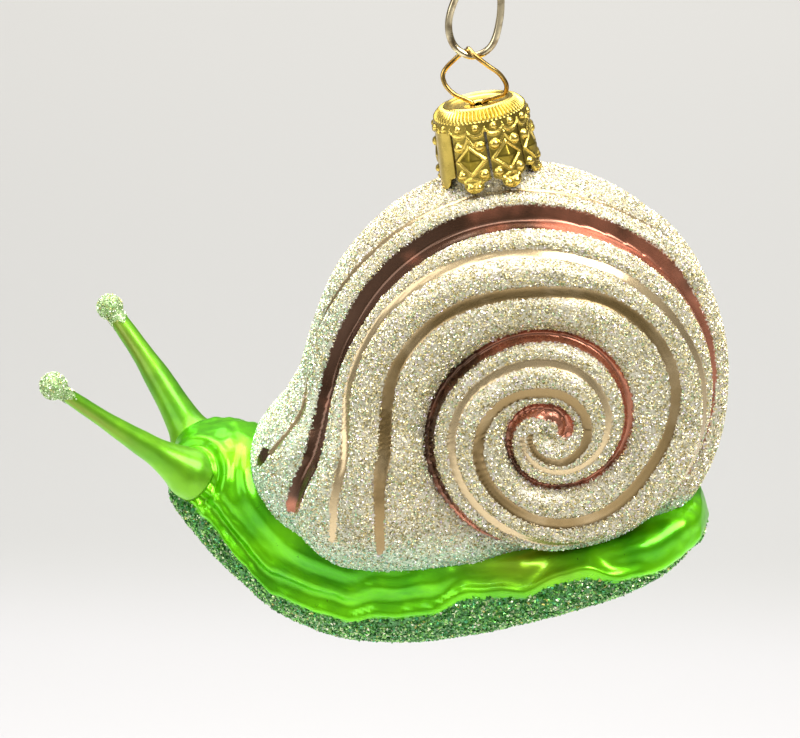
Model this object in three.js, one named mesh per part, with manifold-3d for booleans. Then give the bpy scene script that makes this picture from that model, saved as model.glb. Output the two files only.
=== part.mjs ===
// A mouth-blown glass snail ornament, hanging on its wire hook. Millimetres, +Z up.
// The origin is the inside top of the hook, where a branch or a rod carries the ornament.
// The head points to -X and the tail to +X. The snail hangs a little nose down.
import * as THREE from 'three';
import { mergeVertices } from 'three/addons/utils/BufferGeometryUtils.js';
import Module from 'manifold-3d';

// ---- driving dimensions ----

const WALL = 1.3; // glass
const FIT_GAP = 0.35; // between pieces that touch

const SHELL_CENTRE = new THREE.Vector3(13, 0, -88.5);
const SHELL_HALF_WIDTH = 20;
// Outline radius round the shell's centre: [degrees from +X towards +Z, radius].
const SHELL_OUTLINE = [
  [0, 28.0], [30, 29.3], [60, 32.0], [90, 35.6], [120, 38.0], [150, 38.8], [175, 39.5],
  [188, 45.0], [201, 50.4], [214, 48.0], [228, 40.0], [242, 32.0], [258, 27.0], [285, 27.5],
  [320, 29.0],
];
// How square the shell is across its rim: [degrees, exponent]. 2 is an ellipse.
const SHELL_FULLNESS = [
  [0, 2.3], [120, 2.3], [160, 2.5], [188, 3.2], [222, 4.6], [250, 4.0], [285, 2.6], [330, 2.3],
];
// The seam between the whorls: [degrees turned, radius], winding outwards.
const SEAM = [
  [-15, 2.8], [60, 2.5], [112, 2.8], [194, 6.1], [258, 9.4], [308, 11.0], [359, 12.3],
  [422, 14.0], [492, 15.3], [549, 18.7], [600, 20.6], [659, 23.4], [717, 25.6], [765, 28.5],
  [830, 32.7], [887, 34.4], [910, 37.2], [922, 43.0],
];
const SEAM_WIDTH = 2.2;
const SEAM_DEPTH = 0.75;
const SEAM_STEPS = 60;
const SEAM_SPACING = 1.25; // above 1 the steps are finer on the outer turns

// Foot and head: [x, top, bottom, half width] at each station from the nose to the tail.
const BODY_STATIONS = [
  [-49.2, -103.5, -106.5, 2.0], [-47.5, -99.5, -109.2, 6.5], [-44.0, -97.0, -113.2, 9.2],
  [-38.0, -96.5, -119.4, 11.2], [-31.0, -99.0, -124.8, 13.0], [-22.0, -103.5, -129.2, 15.0],
  [-11.0, -107.0, -130.4, 16.4], [2.0, -109.0, -128.0, 17.0], [15.0, -109.0, -124.0, 16.6],
  [25.0, -107.5, -120.8, 15.0], [31.5, -105.5, -118.0, 12.6], [35.6, -105.2, -115.4, 9.6],
  [38.0, -106.6, -113.4, 6.0], [38.8, -108.6, -111.4, 2.0],
];

const CAP_TILT = THREE.MathUtils.degToRad(-7.5); // the cap leans towards the head
const CAP_TOP = new THREE.Vector3(1.2, 0, -42.5);
const CAP_RADIUS = 7.45;
const CAP_RIM_RADIUS = 8.3; // where the petals end
const CAP_HEIGHT = 11.8;
const CAP_SHEET = 0.5;
const CAP_PETALS = 8;
const PETAL_SLIT = 0.7;
const PETAL_LENGTH = 7.8;
const SLOT_LENGTH = 3.4;
const SLOT_WIDTH = 1.6;

const NECK_RADIUS = CAP_RADIUS - CAP_SHEET - FIT_GAP;
const NECK_BORE = NECK_RADIUS - 1.1;

const LOOP_WIRE = 0.75;
const LOOP_HEIGHT = 9.4; // above the cap
const HOOK_WIRE = 1.15;

const TENTACLES = [
  { name: 'tentacle_left', base: [-43.9, -7.2, -102.2], tip: [-64.2, -17.0, -84.2] },
  { name: 'tentacle_right', base: [-45.2, 7.0, -102.0], tip: [-60.6, 17.0, -82.2] },
];

// ---- materials ----

const finish = (color, roughness, metalness) =>
  new THREE.MeshStandardMaterial({ color, roughness, metalness });

const shellGlass = finish(0xd9d2be, 0.45, 0.2);
const limeGlass = finish(0x4cc41a, 0.25, 0.3);
const goldSheet = finish(0xc9a94a, 0.3, 1.0);
const goldWire = finish(0xb58f45, 0.3, 1.0);
const hookWire = finish(0xc9bfa6, 0.25, 1.0);

// ---- solids ----

const wasm = await Module();
wasm.setup();

/** A closed three.js geometry as a manifold solid. */
function solid(geometry) {
  const bare = geometry.clone();
  bare.deleteAttribute('normal');
  bare.deleteAttribute('uv');
  const merged = mergeVertices(bare, 1e-4);
  const mesh = new wasm.Mesh({
    numProp: 3,
    vertProperties: new Float32Array(merged.attributes.position.array),
    triVerts: new Uint32Array(merged.index.array),
  });
  return new wasm.Manifold(mesh);
}

/** A manifold solid as a three.js geometry with flat faces. */
function geometryOf(manifold) {
  const mesh = manifold.getMesh();
  const geometry = new THREE.BufferGeometry();
  geometry.setAttribute('position', new THREE.BufferAttribute(mesh.vertProperties, 3));
  geometry.setIndex(new THREE.BufferAttribute(mesh.triVerts, 1));
  const faceted = geometry.toNonIndexed();
  faceted.computeVertexNormals();
  return faceted;
}

/** A named mesh. */
function piece(name, geometry, material) {
  const mesh = new THREE.Mesh(geometry, material);
  mesh.name = name;
  return mesh;
}

/** Smooth value at key from a table of [key, ...values]. A period closes the table on itself. */
function smooth(table, key, column = 1, period = 0) {
  const count = table.length;
  const at = (index) => {
    if (!period) return table[Math.min(Math.max(index, 0), count - 1)];
    const turn = Math.floor(index / count);
    const row = table[index - turn * count];
    return [row[0] + turn * period, ...row.slice(1)];
  };
  const wanted = period ? ((key % period) + period) % period : key;
  let low = 0;
  while (low < count - (period ? 1 : 2) && at(low + 1)[0] <= wanted) low += 1;
  const [before, start, end, after] = [at(low - 1), at(low), at(low + 1), at(low + 2)];
  const span = end[0] - start[0];
  const slope = (a, b) => (b[0] > a[0] ? (b[column] - a[column]) / (b[0] - a[0]) : 0);
  const startSlope = slope(before, end) * span;
  const endSlope = slope(start, after) * span;
  const t = THREE.MathUtils.clamp((wanted - start[0]) / span, 0, 1);
  const rise = end[column] - start[column];
  const bend = startSlope * (1 - t) - endSlope * t + rise * (2 * t - 1);
  return start[column] + rise * t + t * (1 - t) * bend;
}

// ---- shell ----

/** The point of the shell's skin at an angle round it and at height 0..1 from middle to rim. */
function shellPoint(degrees, across, side, inset = 0) {
  const outline = smooth(SHELL_OUTLINE, degrees, 1, 360) - inset;
  const fullness = smooth(SHELL_FULLNESS, degrees, 1, 360);
  const sine = Math.sin((across * Math.PI) / 2);
  const cosine = Math.cos((across * Math.PI) / 2);
  const scale = (sine ** fullness + cosine ** fullness) ** (-1 / fullness);
  const angle = THREE.MathUtils.degToRad(degrees);
  const radius = outline * sine * scale;
  return new THREE.Vector3(
    SHELL_CENTRE.x + radius * Math.cos(angle),
    side * (SHELL_HALF_WIDTH - inset) * cosine * scale,
    SHELL_CENTRE.z + radius * Math.sin(angle),
  );
}

/** The shell as a closed skin: a sphere whose poles are the middles of both sides. */
function shellSkin(around, across, inset) {
  const geometry = new THREE.SphereGeometry(1, around, across);
  const place = geometry.attributes.position;
  const point = new THREE.Vector3();
  for (let index = 0; index < place.count; index += 1) {
    point.fromBufferAttribute(place, index);
    const degrees = THREE.MathUtils.radToDeg(Math.atan2(point.z, point.x));
    const height = Math.acos(THREE.MathUtils.clamp(Math.abs(point.y), 0, 1)) / (Math.PI / 2);
    const moved = shellPoint(degrees, height, point.y < 0 ? -1 : 1, inset);
    place.setXYZ(index, moved.x, moved.y, moved.z);
  }
  return solid(geometry);
}

/** A tube along the seam between the whorls on one side, to be cut from the skin. */
function seamCutter(side) {
  const points = [];
  const first = SEAM[0][0];
  const last = SEAM[SEAM.length - 1][0];
  for (let step = 0; step <= SEAM_STEPS; step += 1) {
    const wound = (step / SEAM_STEPS) ** SEAM_SPACING;
    const degrees = last + (first - last) * wound;
    const radius = smooth(SEAM, degrees);
    points.push(onSkin(degrees, radius, side, SEAM_WIDTH / 2 - SEAM_DEPTH));
  }
  return wire(points, SEAM_WIDTH, 4, SEAM_STEPS);
}

/** The point of the skin at a distance from the shell's centre, lifted outwards by lift. */
function onSkin(degrees, radius, side, lift) {
  let low = 0;
  let high = 1;
  for (let pass = 0; pass < 24; pass += 1) {
    const middle = (low + high) / 2;
    const point = shellPoint(degrees, middle, side);
    const reached = Math.hypot(point.x - SHELL_CENTRE.x, point.z - SHELL_CENTRE.z);
    if (reached < radius) low = middle;
    else high = middle;
  }
  const step = 0.01;
  const point = shellPoint(degrees, low, side);
  const along = shellPoint(degrees, low + step, side).sub(shellPoint(degrees, low - step, side));
  const round = shellPoint(degrees + 1, low, side).sub(shellPoint(degrees - 1, low, side));
  const normal = round.cross(along).normalize();
  if (normal.y * side < 0) normal.negate();
  return point.addScaledVector(normal, lift);
}

/** Round wire along points. */
function wire(points, diameter, sides, steps) {
  const section = new THREE.Shape();
  for (let side = 0; side < sides; side += 1) {
    const angle = (side / sides) * Math.PI * 2;
    const x = (Math.cos(angle) * diameter) / 2;
    const y = (Math.sin(angle) * diameter) / 2;
    if (side === 0) section.moveTo(x, y);
    else section.lineTo(x, y);
  }
  const extrudePath = new THREE.CatmullRomCurve3(points, false, 'centripetal');
  return new THREE.ExtrudeGeometry(section, { steps, extrudePath, bevelEnabled: false });
}

// ---- foot and head ----

/** The animal's body as a closed skin: a sphere whose poles are the nose and the tail. */
function bodySkin(around, along, inset) {
  const first = BODY_STATIONS[0][0] + inset;
  const last = BODY_STATIONS[BODY_STATIONS.length - 1][0] - inset;
  const geometry = new THREE.SphereGeometry(1, around, along);
  const place = geometry.attributes.position;
  const point = new THREE.Vector3();
  for (let index = 0; index < place.count; index += 1) {
    point.fromBufferAttribute(place, index);
    const x = THREE.MathUtils.mapLinear(point.y, 1, -1, first, last);
    const top = smooth(BODY_STATIONS, x, 1);
    const bottom = smooth(BODY_STATIONS, x, 2);
    const halfWidth = Math.max(smooth(BODY_STATIONS, x, 3) - inset, 0.2);
    const halfHeight = Math.max((top - bottom) / 2 - inset, 0.2);
    const round = Math.hypot(point.x, point.z);
    const pole = round < 1e-6;
    const across = pole ? 0 : point.x / round;
    const upward = pole ? 0 : point.z / round;
    const square = (Math.abs(across) ** 2.6 + Math.abs(upward) ** 2.6 || 1) ** (-1 / 2.6);
    const y = across * square * halfWidth;
    const z = (top + bottom) / 2 + upward * square * halfHeight;
    place.setXYZ(index, x, y, z);
  }
  return solid(geometry);
}

// ---- neck and cap ----

/** Turns a geometry built round +Z, with z = 0 at the cap's top, into place. */
function onCapAxis(geometry) {
  geometry.rotateY(CAP_TILT);
  geometry.translate(CAP_TOP.x, CAP_TOP.y, CAP_TOP.z);
  return geometry;
}

/** A solid turned round the Z axis from [radius, z] pairs. */
function turned(profile, segments) {
  const points = profile.map(([radius, z]) => new THREE.Vector2(radius, z));
  const geometry = new THREE.LatheGeometry(points, segments);
  geometry.rotateX(Math.PI / 2);
  return geometry;
}

/** A plug of glass from deep in the shell up to just under the cap's top. */
function neckPlug(radius, top, bottom) {
  return solid(onCapAxis(turned([[0, bottom], [radius, bottom], [radius, top], [0, top]], 32)));
}

function glassBody() {
  const outside = shellSkin(60, 28, 0)
    .add(bodySkin(28, 26, 0))
    .add(neckPlug(NECK_RADIUS, -CAP_SHEET - FIT_GAP, -22));
  const inside = shellSkin(28, 12, WALL)
    .add(bodySkin(16, 14, WALL))
    .add(neckPlug(NECK_BORE, 1, -23));
  const grooved = outside
    .subtract(solid(seamCutter(-1)))
    .subtract(solid(seamCutter(1)));
  return piece('glass_body', geometryOf(grooved.subtract(inside)), shellGlass);
}

function crownCap() {
  const flare = CAP_RIM_RADIUS - CAP_RADIUS;
  const shoulder = 1.6;
  const profile = [
    [0, 0], [CAP_RADIUS - 1.6, 0], [CAP_RADIUS - 1.2, 0.45], [CAP_RADIUS - 0.5, 0.2],
    [CAP_RADIUS, -shoulder], [CAP_RADIUS, shoulder - CAP_HEIGHT / 2],
    [CAP_RADIUS + flare, -CAP_HEIGHT], [CAP_RADIUS + flare - CAP_SHEET, -CAP_HEIGHT],
    [CAP_RADIUS - CAP_SHEET, shoulder - CAP_HEIGHT / 2], [CAP_RADIUS - CAP_SHEET, -CAP_SHEET],
    [0, -CAP_SHEET],
  ];
  let cap = solid(turned(profile.reverse(), 40));
  for (let petal = 0; petal < CAP_PETALS / 2; petal += 1) {
    const slit = new THREE.BoxGeometry(4 * CAP_RADIUS, PETAL_SLIT, PETAL_LENGTH);
    slit.translate(0, 0, PETAL_LENGTH / 2 - CAP_HEIGHT - 0.5);
    slit.rotateZ(((petal + 0.36) * Math.PI * 2) / CAP_PETALS);
    cap = cap.subtract(solid(slit));
  }
  const slot = new THREE.BoxGeometry(SLOT_LENGTH, SLOT_WIDTH, 4 * CAP_SHEET);
  cap = solid(onCapAxis(geometryOf(cap.subtract(solid(slot)))));
  const onShell = cap.subtract(shellSkin(48, 20, -FIT_GAP));
  return piece('crown_cap', geometryOf(onShell), goldSheet);
}

// ---- wires ----

/** The spring wire: up out of the slot, round in a flattened ring with a dip at its top. */
function wireLoop() {
  const leg = (side) => [
    new THREE.Vector3(side * 4.0, 0, -8.5),
    new THREE.Vector3(side * 2.0, 0, -4.0),
    new THREE.Vector3(side * 0.85, 0, 0),
    new THREE.Vector3(side * 2.6, 0, 1.2),
    new THREE.Vector3(side * 4.6, side * -0.3, 3.0),
    new THREE.Vector3(side * 4.4, side * -0.9, 5.6),
    new THREE.Vector3(side * 2.1, side * -1.5, 7.6),
    new THREE.Vector3(side * 0.5, side * -1.3, 8.9),
  ];
  const points = [...leg(-1), new THREE.Vector3(0, 0, LOOP_HEIGHT), ...leg(1).reverse()];
  const geometry = wire(points, LOOP_WIRE, 6, 48);
  return piece('wire_loop', onCapAxis(geometry), goldWire);
}

/** The hook: a long narrow eye below, threaded through the loop, and an open bend on top. */
function hangerHook() {
  const points = [
    [2.9, 0, -20.0], [0.9, 0, -21.0], [-1.9, 0, -24.0], [-3.7, 0, -29.6], [-2.7, 0, -33.1],
    [0, 0, -34.55], [2.8, 0, -33.1], [4.2, 0, -28.6], [4.3, 0, -21.0], [4.9, 0, -12.5],
    [5.7, 0, -5.4], [4.1, 0, -1.1], [0, 0, HOOK_WIRE / 2], [-4.1, 0, -1.1], [-5.8, 0, -5.0],
    [-6.0, 0, -8.2], [-7.3, 0, -10.2],
  ].map((point) => new THREE.Vector3(...point));
  return piece('hanger_hook', wire(points, HOOK_WIRE, 6, 64), hookWire);
}

// ---- tentacles ----

/** A drawn glass horn, flared down to the head that it is fused on, with a bead at its tip. */
function tentacle({ name, base, tip }) {
  const from = new THREE.Vector3(...base);
  const to = new THREE.Vector3(...tip);
  const length = from.distanceTo(to);
  const bead = 2.35;
  const profile = [
    [0, 0], [3.9, 0], [3.75, 1.4], [3.1, 3.4], [2.45, 6.0], [1.9, 9.5], [1.4, length * 0.52],
    [1.05, length * 0.75], [0.95, length - 1.9],
  ];
  for (let step = 0; step <= 6; step += 1) {
    const angle = THREE.MathUtils.lerp(-1.05, Math.PI / 2, step / 6);
    profile.push([Math.cos(angle) * bead, length + Math.sin(angle) * bead]);
  }
  profile[profile.length - 1][0] = 0;
  const geometry = turned(profile, 14);
  const turn = new THREE.Quaternion().setFromUnitVectors(
    new THREE.Vector3(0, 0, 1),
    to.clone().sub(from).normalize(),
  );
  geometry.applyQuaternion(turn);
  geometry.translate(from.x, from.y, from.z);
  const onHead = solid(geometry).subtract(bodySkin(28, 26, -FIT_GAP));
  return piece(name, geometryOf(onHead), limeGlass);
}

const ornament = new THREE.Group();
ornament.add(glassBody(), crownCap(), wireLoop(), hangerHook());
for (const horn of TENTACLES) ornament.add(tentacle(horn));

export default ornament;
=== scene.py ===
"""A mouth-blown glass snail ornament: its finished surfaces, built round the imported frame.

Lengths inside the classes are millimetres in the frame's own axes: +Z is up as the ornament
hangs, the head is towards -X, and the near side of the shell is towards -Y.
"""
import logging
import math
from dataclasses import dataclass, field
from enum import Enum
from typing import Callable, Sequence

import bpy
import numpy as np
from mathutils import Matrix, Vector


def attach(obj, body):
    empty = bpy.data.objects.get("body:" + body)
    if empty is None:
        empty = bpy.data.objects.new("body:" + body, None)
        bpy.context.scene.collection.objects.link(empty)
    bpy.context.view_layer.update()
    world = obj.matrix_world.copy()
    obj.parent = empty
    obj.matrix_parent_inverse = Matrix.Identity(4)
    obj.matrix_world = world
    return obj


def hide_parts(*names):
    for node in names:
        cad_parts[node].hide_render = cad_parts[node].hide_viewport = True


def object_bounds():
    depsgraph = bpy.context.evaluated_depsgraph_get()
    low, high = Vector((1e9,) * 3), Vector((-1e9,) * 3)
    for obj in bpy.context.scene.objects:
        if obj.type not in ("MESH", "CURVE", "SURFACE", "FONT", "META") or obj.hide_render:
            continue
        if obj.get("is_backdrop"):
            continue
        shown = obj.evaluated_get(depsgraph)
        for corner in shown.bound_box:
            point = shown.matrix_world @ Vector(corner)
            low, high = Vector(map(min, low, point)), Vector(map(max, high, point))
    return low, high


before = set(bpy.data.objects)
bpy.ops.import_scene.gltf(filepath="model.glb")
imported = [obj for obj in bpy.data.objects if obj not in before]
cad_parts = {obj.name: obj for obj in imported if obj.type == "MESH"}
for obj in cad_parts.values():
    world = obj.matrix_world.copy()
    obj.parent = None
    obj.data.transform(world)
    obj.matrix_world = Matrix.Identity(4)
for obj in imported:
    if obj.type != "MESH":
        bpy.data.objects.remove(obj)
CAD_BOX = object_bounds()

logging.basicConfig(level=logging.INFO, format="%(message)s")
log = logging.getLogger("snail_ornament")

MM = 0.001
BODY = "root"
SEED = 4117
NEAR, FAR = -1.0, 1.0
Table = Sequence[tuple[float, ...]]


# ---------------------------------------------------------------- small maths


def smooth_table(table: Table, key: np.ndarray, period: float = 0.0, column: int = 1) -> np.ndarray:
    """Reads a smooth curve through a short table.

    Args:
        table: rows of (key, value, ...), rising in key.
        key: where to read it.
        period: the length after which the table repeats, or 0.
        column: which value to read.

    Returns:
        The values, in the shape of key.
    """
    rows = np.array([(row[0], row[column]) for row in table], float)
    x, y = rows[:, 0], rows[:, 1]
    key = np.asarray(key, float)
    if period:
        x = np.concatenate([x - period, x, x + period])
        y = np.concatenate([y, y, y])
        key = np.mod(key, period)
    slope = np.empty(len(x))
    slope[1:-1] = (y[2:] - y[:-2]) / (x[2:] - x[:-2])
    slope[0] = (y[1] - y[0]) / (x[1] - x[0])
    slope[-1] = (y[-1] - y[-2]) / (x[-1] - x[-2])
    i = np.clip(np.searchsorted(x, key, side="right") - 1, 0, len(x) - 2)
    span = x[i + 1] - x[i]
    t = np.clip((key - x[i]) / span, 0.0, 1.0)
    left = y[i] * (1 + 2 * t) * (1 - t) ** 2 + span * slope[i] * t * (1 - t) ** 2
    right = y[i + 1] * t * t * (3 - 2 * t) + span * slope[i + 1] * t * t * (t - 1)
    return left + right


def fade(value: np.ndarray, low: float, high: float) -> np.ndarray:
    """Returns 0 below low, 1 above high and a smooth rise between them."""
    t = np.clip((value - low) / (high - low), 0.0, 1.0)
    return t * t * (3 - 2 * t)


def hump(value: np.ndarray, middle: float | np.ndarray, width: float) -> np.ndarray:
    """Returns a bell of height 1 round middle."""
    return np.exp(-(((value - middle) / width) ** 2))


def unit(vectors: np.ndarray) -> np.ndarray:
    """Returns the vectors at length 1."""
    return vectors / np.maximum(np.linalg.norm(vectors, axis=-1, keepdims=True), 1e-12)


def ripple(points: np.ndarray, wavelength: float, seed: int) -> np.ndarray:
    """A soft random unevenness in space, between about -1 and 1.

    Args:
        points: places, in millimetres.
        wavelength: the size of its waves.
        seed: which unevenness.

    Returns:
        One value for each place.
    """
    dice = np.random.default_rng(seed)
    total = np.zeros(points.shape[:-1])
    waves = 7
    for _ in range(waves):
        heading = unit(dice.normal(size=3)) * (2 * math.pi / (wavelength * dice.uniform(0.7, 1.5)))
        total += np.sin(points @ heading + dice.uniform(0, 2 * math.pi))
    return total / math.sqrt(waves * 2)


# ---------------------------------------------------------------- meshes


def make_piece(
    name: str,
    points: np.ndarray,
    faces: np.ndarray,
    values: dict[str, np.ndarray] | None = None,
    smooth: bool = True,
) -> bpy.types.Object:
    """Makes a mesh object from points in millimetres.

    Args:
        name: the piece's name.
        points: an (n, 3) array.
        faces: an (m, 3) or (m, 4) array of point numbers.
        values: a number for each point, under the name that materials read it by.
        smooth: whether faces shade smoothly.

    Returns:
        The new object, in the scene.
    """
    corners = faces.shape[1]
    mesh = bpy.data.meshes.new(name)
    mesh.vertices.add(len(points))
    mesh.vertices.foreach_set("co", (points * MM).astype(np.float32).ravel())
    mesh.loops.add(faces.size)
    mesh.loops.foreach_set("vertex_index", faces.astype(np.int32).ravel())
    mesh.polygons.add(len(faces))
    mesh.polygons.foreach_set("loop_start", np.arange(0, faces.size, corners, dtype=np.int32))
    mesh.polygons.foreach_set("use_smooth", np.full(len(faces), smooth))
    mesh.update(calc_edges=True)
    mesh.validate()
    for key, value in (values or {}).items():
        layer = mesh.attributes.new(key, "FLOAT", "POINT")
        layer.data.foreach_set("value", np.asarray(value, np.float32).ravel())
    piece = bpy.data.objects.new(name, mesh)
    bpy.context.scene.collection.objects.link(piece)
    return piece


def grid_faces(rows: int, columns: int, wrap: bool, first: int = 0) -> np.ndarray:
    """Quads over a grid of points numbered row by row.

    Args:
        rows: how many rows of points.
        columns: how many points in a row.
        wrap: whether the last column joins the first.
        first: the number of the first point.

    Returns:
        An (m, 4) array of point numbers.
    """
    r, c = np.meshgrid(np.arange(rows - 1), np.arange(columns - (0 if wrap else 1)), indexing="ij")
    nxt = (c + 1) % columns
    quads = [r * columns + c, r * columns + nxt, (r + 1) * columns + nxt, (r + 1) * columns + c]
    return np.stack(quads, -1).reshape(-1, 4) + first


def triangles_of(piece: bpy.types.Object) -> tuple[np.ndarray, np.ndarray]:
    """Returns a piece's points, in metres, and the three point numbers of each of its triangles."""
    mesh = piece.data
    points = np.empty(len(mesh.vertices) * 3, np.float32)
    mesh.vertices.foreach_get("co", points)
    mesh.calc_loop_triangles()
    corners = np.empty(len(mesh.loop_triangles) * 3, np.int32)
    mesh.loop_triangles.foreach_get("vertices", corners)
    return points.reshape(-1, 3).astype(float), corners.reshape(-1, 3)


def outward(piece: bpy.types.Object) -> bpy.types.Object:
    """Turns a closed piece's faces outwards and returns it."""
    points, corners = triangles_of(piece)
    a, b, c = points[corners].transpose(1, 0, 2)
    if np.einsum("ij,ij->i", a, np.cross(b, c)).sum() < 0:
        piece.data.flip_normals()
    return piece


def closed_ball(
    name: str, rings: np.ndarray, poles: np.ndarray, values: dict[str, np.ndarray] | None = None
) -> bpy.types.Object:
    """A closed skin of rings of points with a pole at each end, its faces turned outwards.

    Args:
        name: the piece's name.
        rings: an (n, m, 3) array, from the first pole to the last.
        poles: the two end points.
        values: (n, m) arrays of numbers for the points, under the names that materials read.

    Returns:
        The new object.
    """
    rows, columns, _ = rings.shape
    points = np.concatenate([rings.reshape(-1, 3), poles])
    quads = grid_faces(rows, columns, True)
    around = np.arange(columns)
    nxt = (around + 1) % columns
    last = (rows - 1) * columns
    start, end = np.full(columns, rows * columns), np.full(columns, rows * columns + 1)
    caps = [np.stack([start, nxt, around], -1), np.stack([end, last + around, last + nxt], -1)]
    triangles = np.concatenate([quads[:, [0, 1, 2]], quads[:, [0, 2, 3]], *caps])
    held = {}
    for key, value in (values or {}).items():
        held[key] = np.concatenate([value.ravel(), [value[0].mean(), value[-1].mean()]])
    return outward(make_piece(name, points, triangles, held))


def turned(
    profile: Sequence[tuple[float, float]], segments: int, flutes: Callable | None = None
) -> tuple[np.ndarray, np.ndarray]:
    """A closed profile turned round the Z axis.

    Args:
        profile: (radius, z) pairs that close on themselves, none on the axis.
        segments: how many steps make the turn.
        flutes: gives (radius, z) moved by angle, from (angle, radius, z).

    Returns:
        Points and quads.
    """
    rows = len(profile)
    angle = np.linspace(0, 2 * math.pi, segments, endpoint=False)
    radius = np.array([pair[0] for pair in profile])[:, None] + 0 * angle
    height = np.array([pair[1] for pair in profile])[:, None] + 0 * angle
    if flutes:
        radius, height = flutes(angle[None, :], radius, height)
    points = np.stack([radius * np.cos(angle), radius * np.sin(angle), height], -1)
    r, c = np.meshgrid(np.arange(rows), np.arange(segments), indexing="ij")
    r1, c1 = (r + 1) % rows, (c + 1) % segments
    quads = [r * segments + c, r * segments + c1, r1 * segments + c1, r1 * segments + c]
    return points.reshape(-1, 3), np.stack(quads, -1).reshape(-1, 4)


def closed_sheet(outer: np.ndarray, inner: np.ndarray, first: int) -> tuple[np.ndarray, np.ndarray]:
    """Joins two like grids of points at their edges into one closed sheet.

    Args:
        outer: an (n, m, 3) array.
        inner: the other side, alike.
        first: the number of the first point.

    Returns:
        Points and quads.
    """
    rows, columns, _ = outer.shape
    count = rows * columns
    number = np.arange(count).reshape(rows, columns)
    rim = np.concatenate([number[0, :-1], number[:-1, -1], number[-1, :0:-1], number[:0:-1, 0]])
    nxt = np.roll(rim, -1)
    sides = np.stack([rim, rim + count, nxt + count, nxt], -1)
    faces = np.concatenate(
        [grid_faces(rows, columns, False), grid_faces(rows, columns, False, count)[:, ::-1], sides]
    )
    return np.concatenate([outer.reshape(-1, 3), inner.reshape(-1, 3)]), faces + first


def smooth_route(points: Sequence[tuple[float, float, float]], per_span: int) -> np.ndarray:
    """A centripetal curve through points.

    Args:
        points: the places it passes.
        per_span: how many steps lie between two of them.

    Returns:
        An (n, 3) array along the curve.
    """
    p = np.array(points, float)
    p = np.concatenate([[2 * p[0] - p[1]], p, [2 * p[-1] - p[-2]]])
    found = []
    for a, b, c, d in zip(p[:-3], p[1:-2], p[2:-1], p[3:]):
        t0 = 0.0
        t1 = t0 + np.linalg.norm(b - a) ** 0.5
        t2 = t1 + np.linalg.norm(c - b) ** 0.5
        t3 = t2 + np.linalg.norm(d - c) ** 0.5
        t = np.linspace(t1, t2, per_span, endpoint=False)[:, None]
        ab = (t1 - t) / (t1 - t0) * a + (t - t0) / (t1 - t0) * b
        bc = (t2 - t) / (t2 - t1) * b + (t - t1) / (t2 - t1) * c
        cd = (t3 - t) / (t3 - t2) * c + (t - t2) / (t3 - t2) * d
        abc = (t2 - t) / (t2 - t0) * ab + (t - t0) / (t2 - t0) * bc
        bcd = (t3 - t) / (t3 - t1) * bc + (t - t1) / (t3 - t1) * cd
        found.append((t2 - t) / (t2 - t1) * abc + (t - t1) / (t2 - t1) * bcd)
    return np.concatenate([*found, p[-2:-1]])


def swept(route: np.ndarray, radius: np.ndarray, sides: int) -> tuple[np.ndarray, ...]:
    """Rings of points round a route, without twist.

    Args:
        route: an (n, 3) array.
        radius: the radius at each point.
        sides: points in a ring.

    Returns:
        The (n, sides, 3) rings and the two end points.
    """
    heading = unit(np.gradient(route, axis=0))
    side = unit(np.cross(heading[0], [0.31, 0.95, 0.11]))
    frames = []
    for direction in heading:
        side = unit(side - direction * (side @ direction))
        frames.append((side, np.cross(direction, side)))
    u = np.array([pair[0] for pair in frames])[:, None]
    v = np.array([pair[1] for pair in frames])[:, None]
    angle = np.linspace(0, 2 * math.pi, sides, endpoint=False)[None, :, None]
    rings = route[:, None] + radius[:, None, None] * (u * np.cos(angle) + v * np.sin(angle))
    return rings, np.stack([route[0], route[-1]])


def tube(name: str, points: Sequence[tuple[float, float, float]], diameter: float) -> bpy.types.Object:
    """A length of drawn wire with slightly rounded cut ends.

    Args:
        name: the piece's name.
        points: the places it passes.
        diameter: of the wire.

    Returns:
        The new object.
    """
    route = smooth_route(points, 14)
    radius = np.full(len(route), diameter / 2)
    radius *= 1 + 0.012 * ripple(route, 3.0, SEED)
    radius[[0, -1]] *= 0.6
    rings, poles = swept(route, radius, 20)
    return closed_ball(name, rings, poles)


# ---------------------------------------------------------------- shader building


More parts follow.
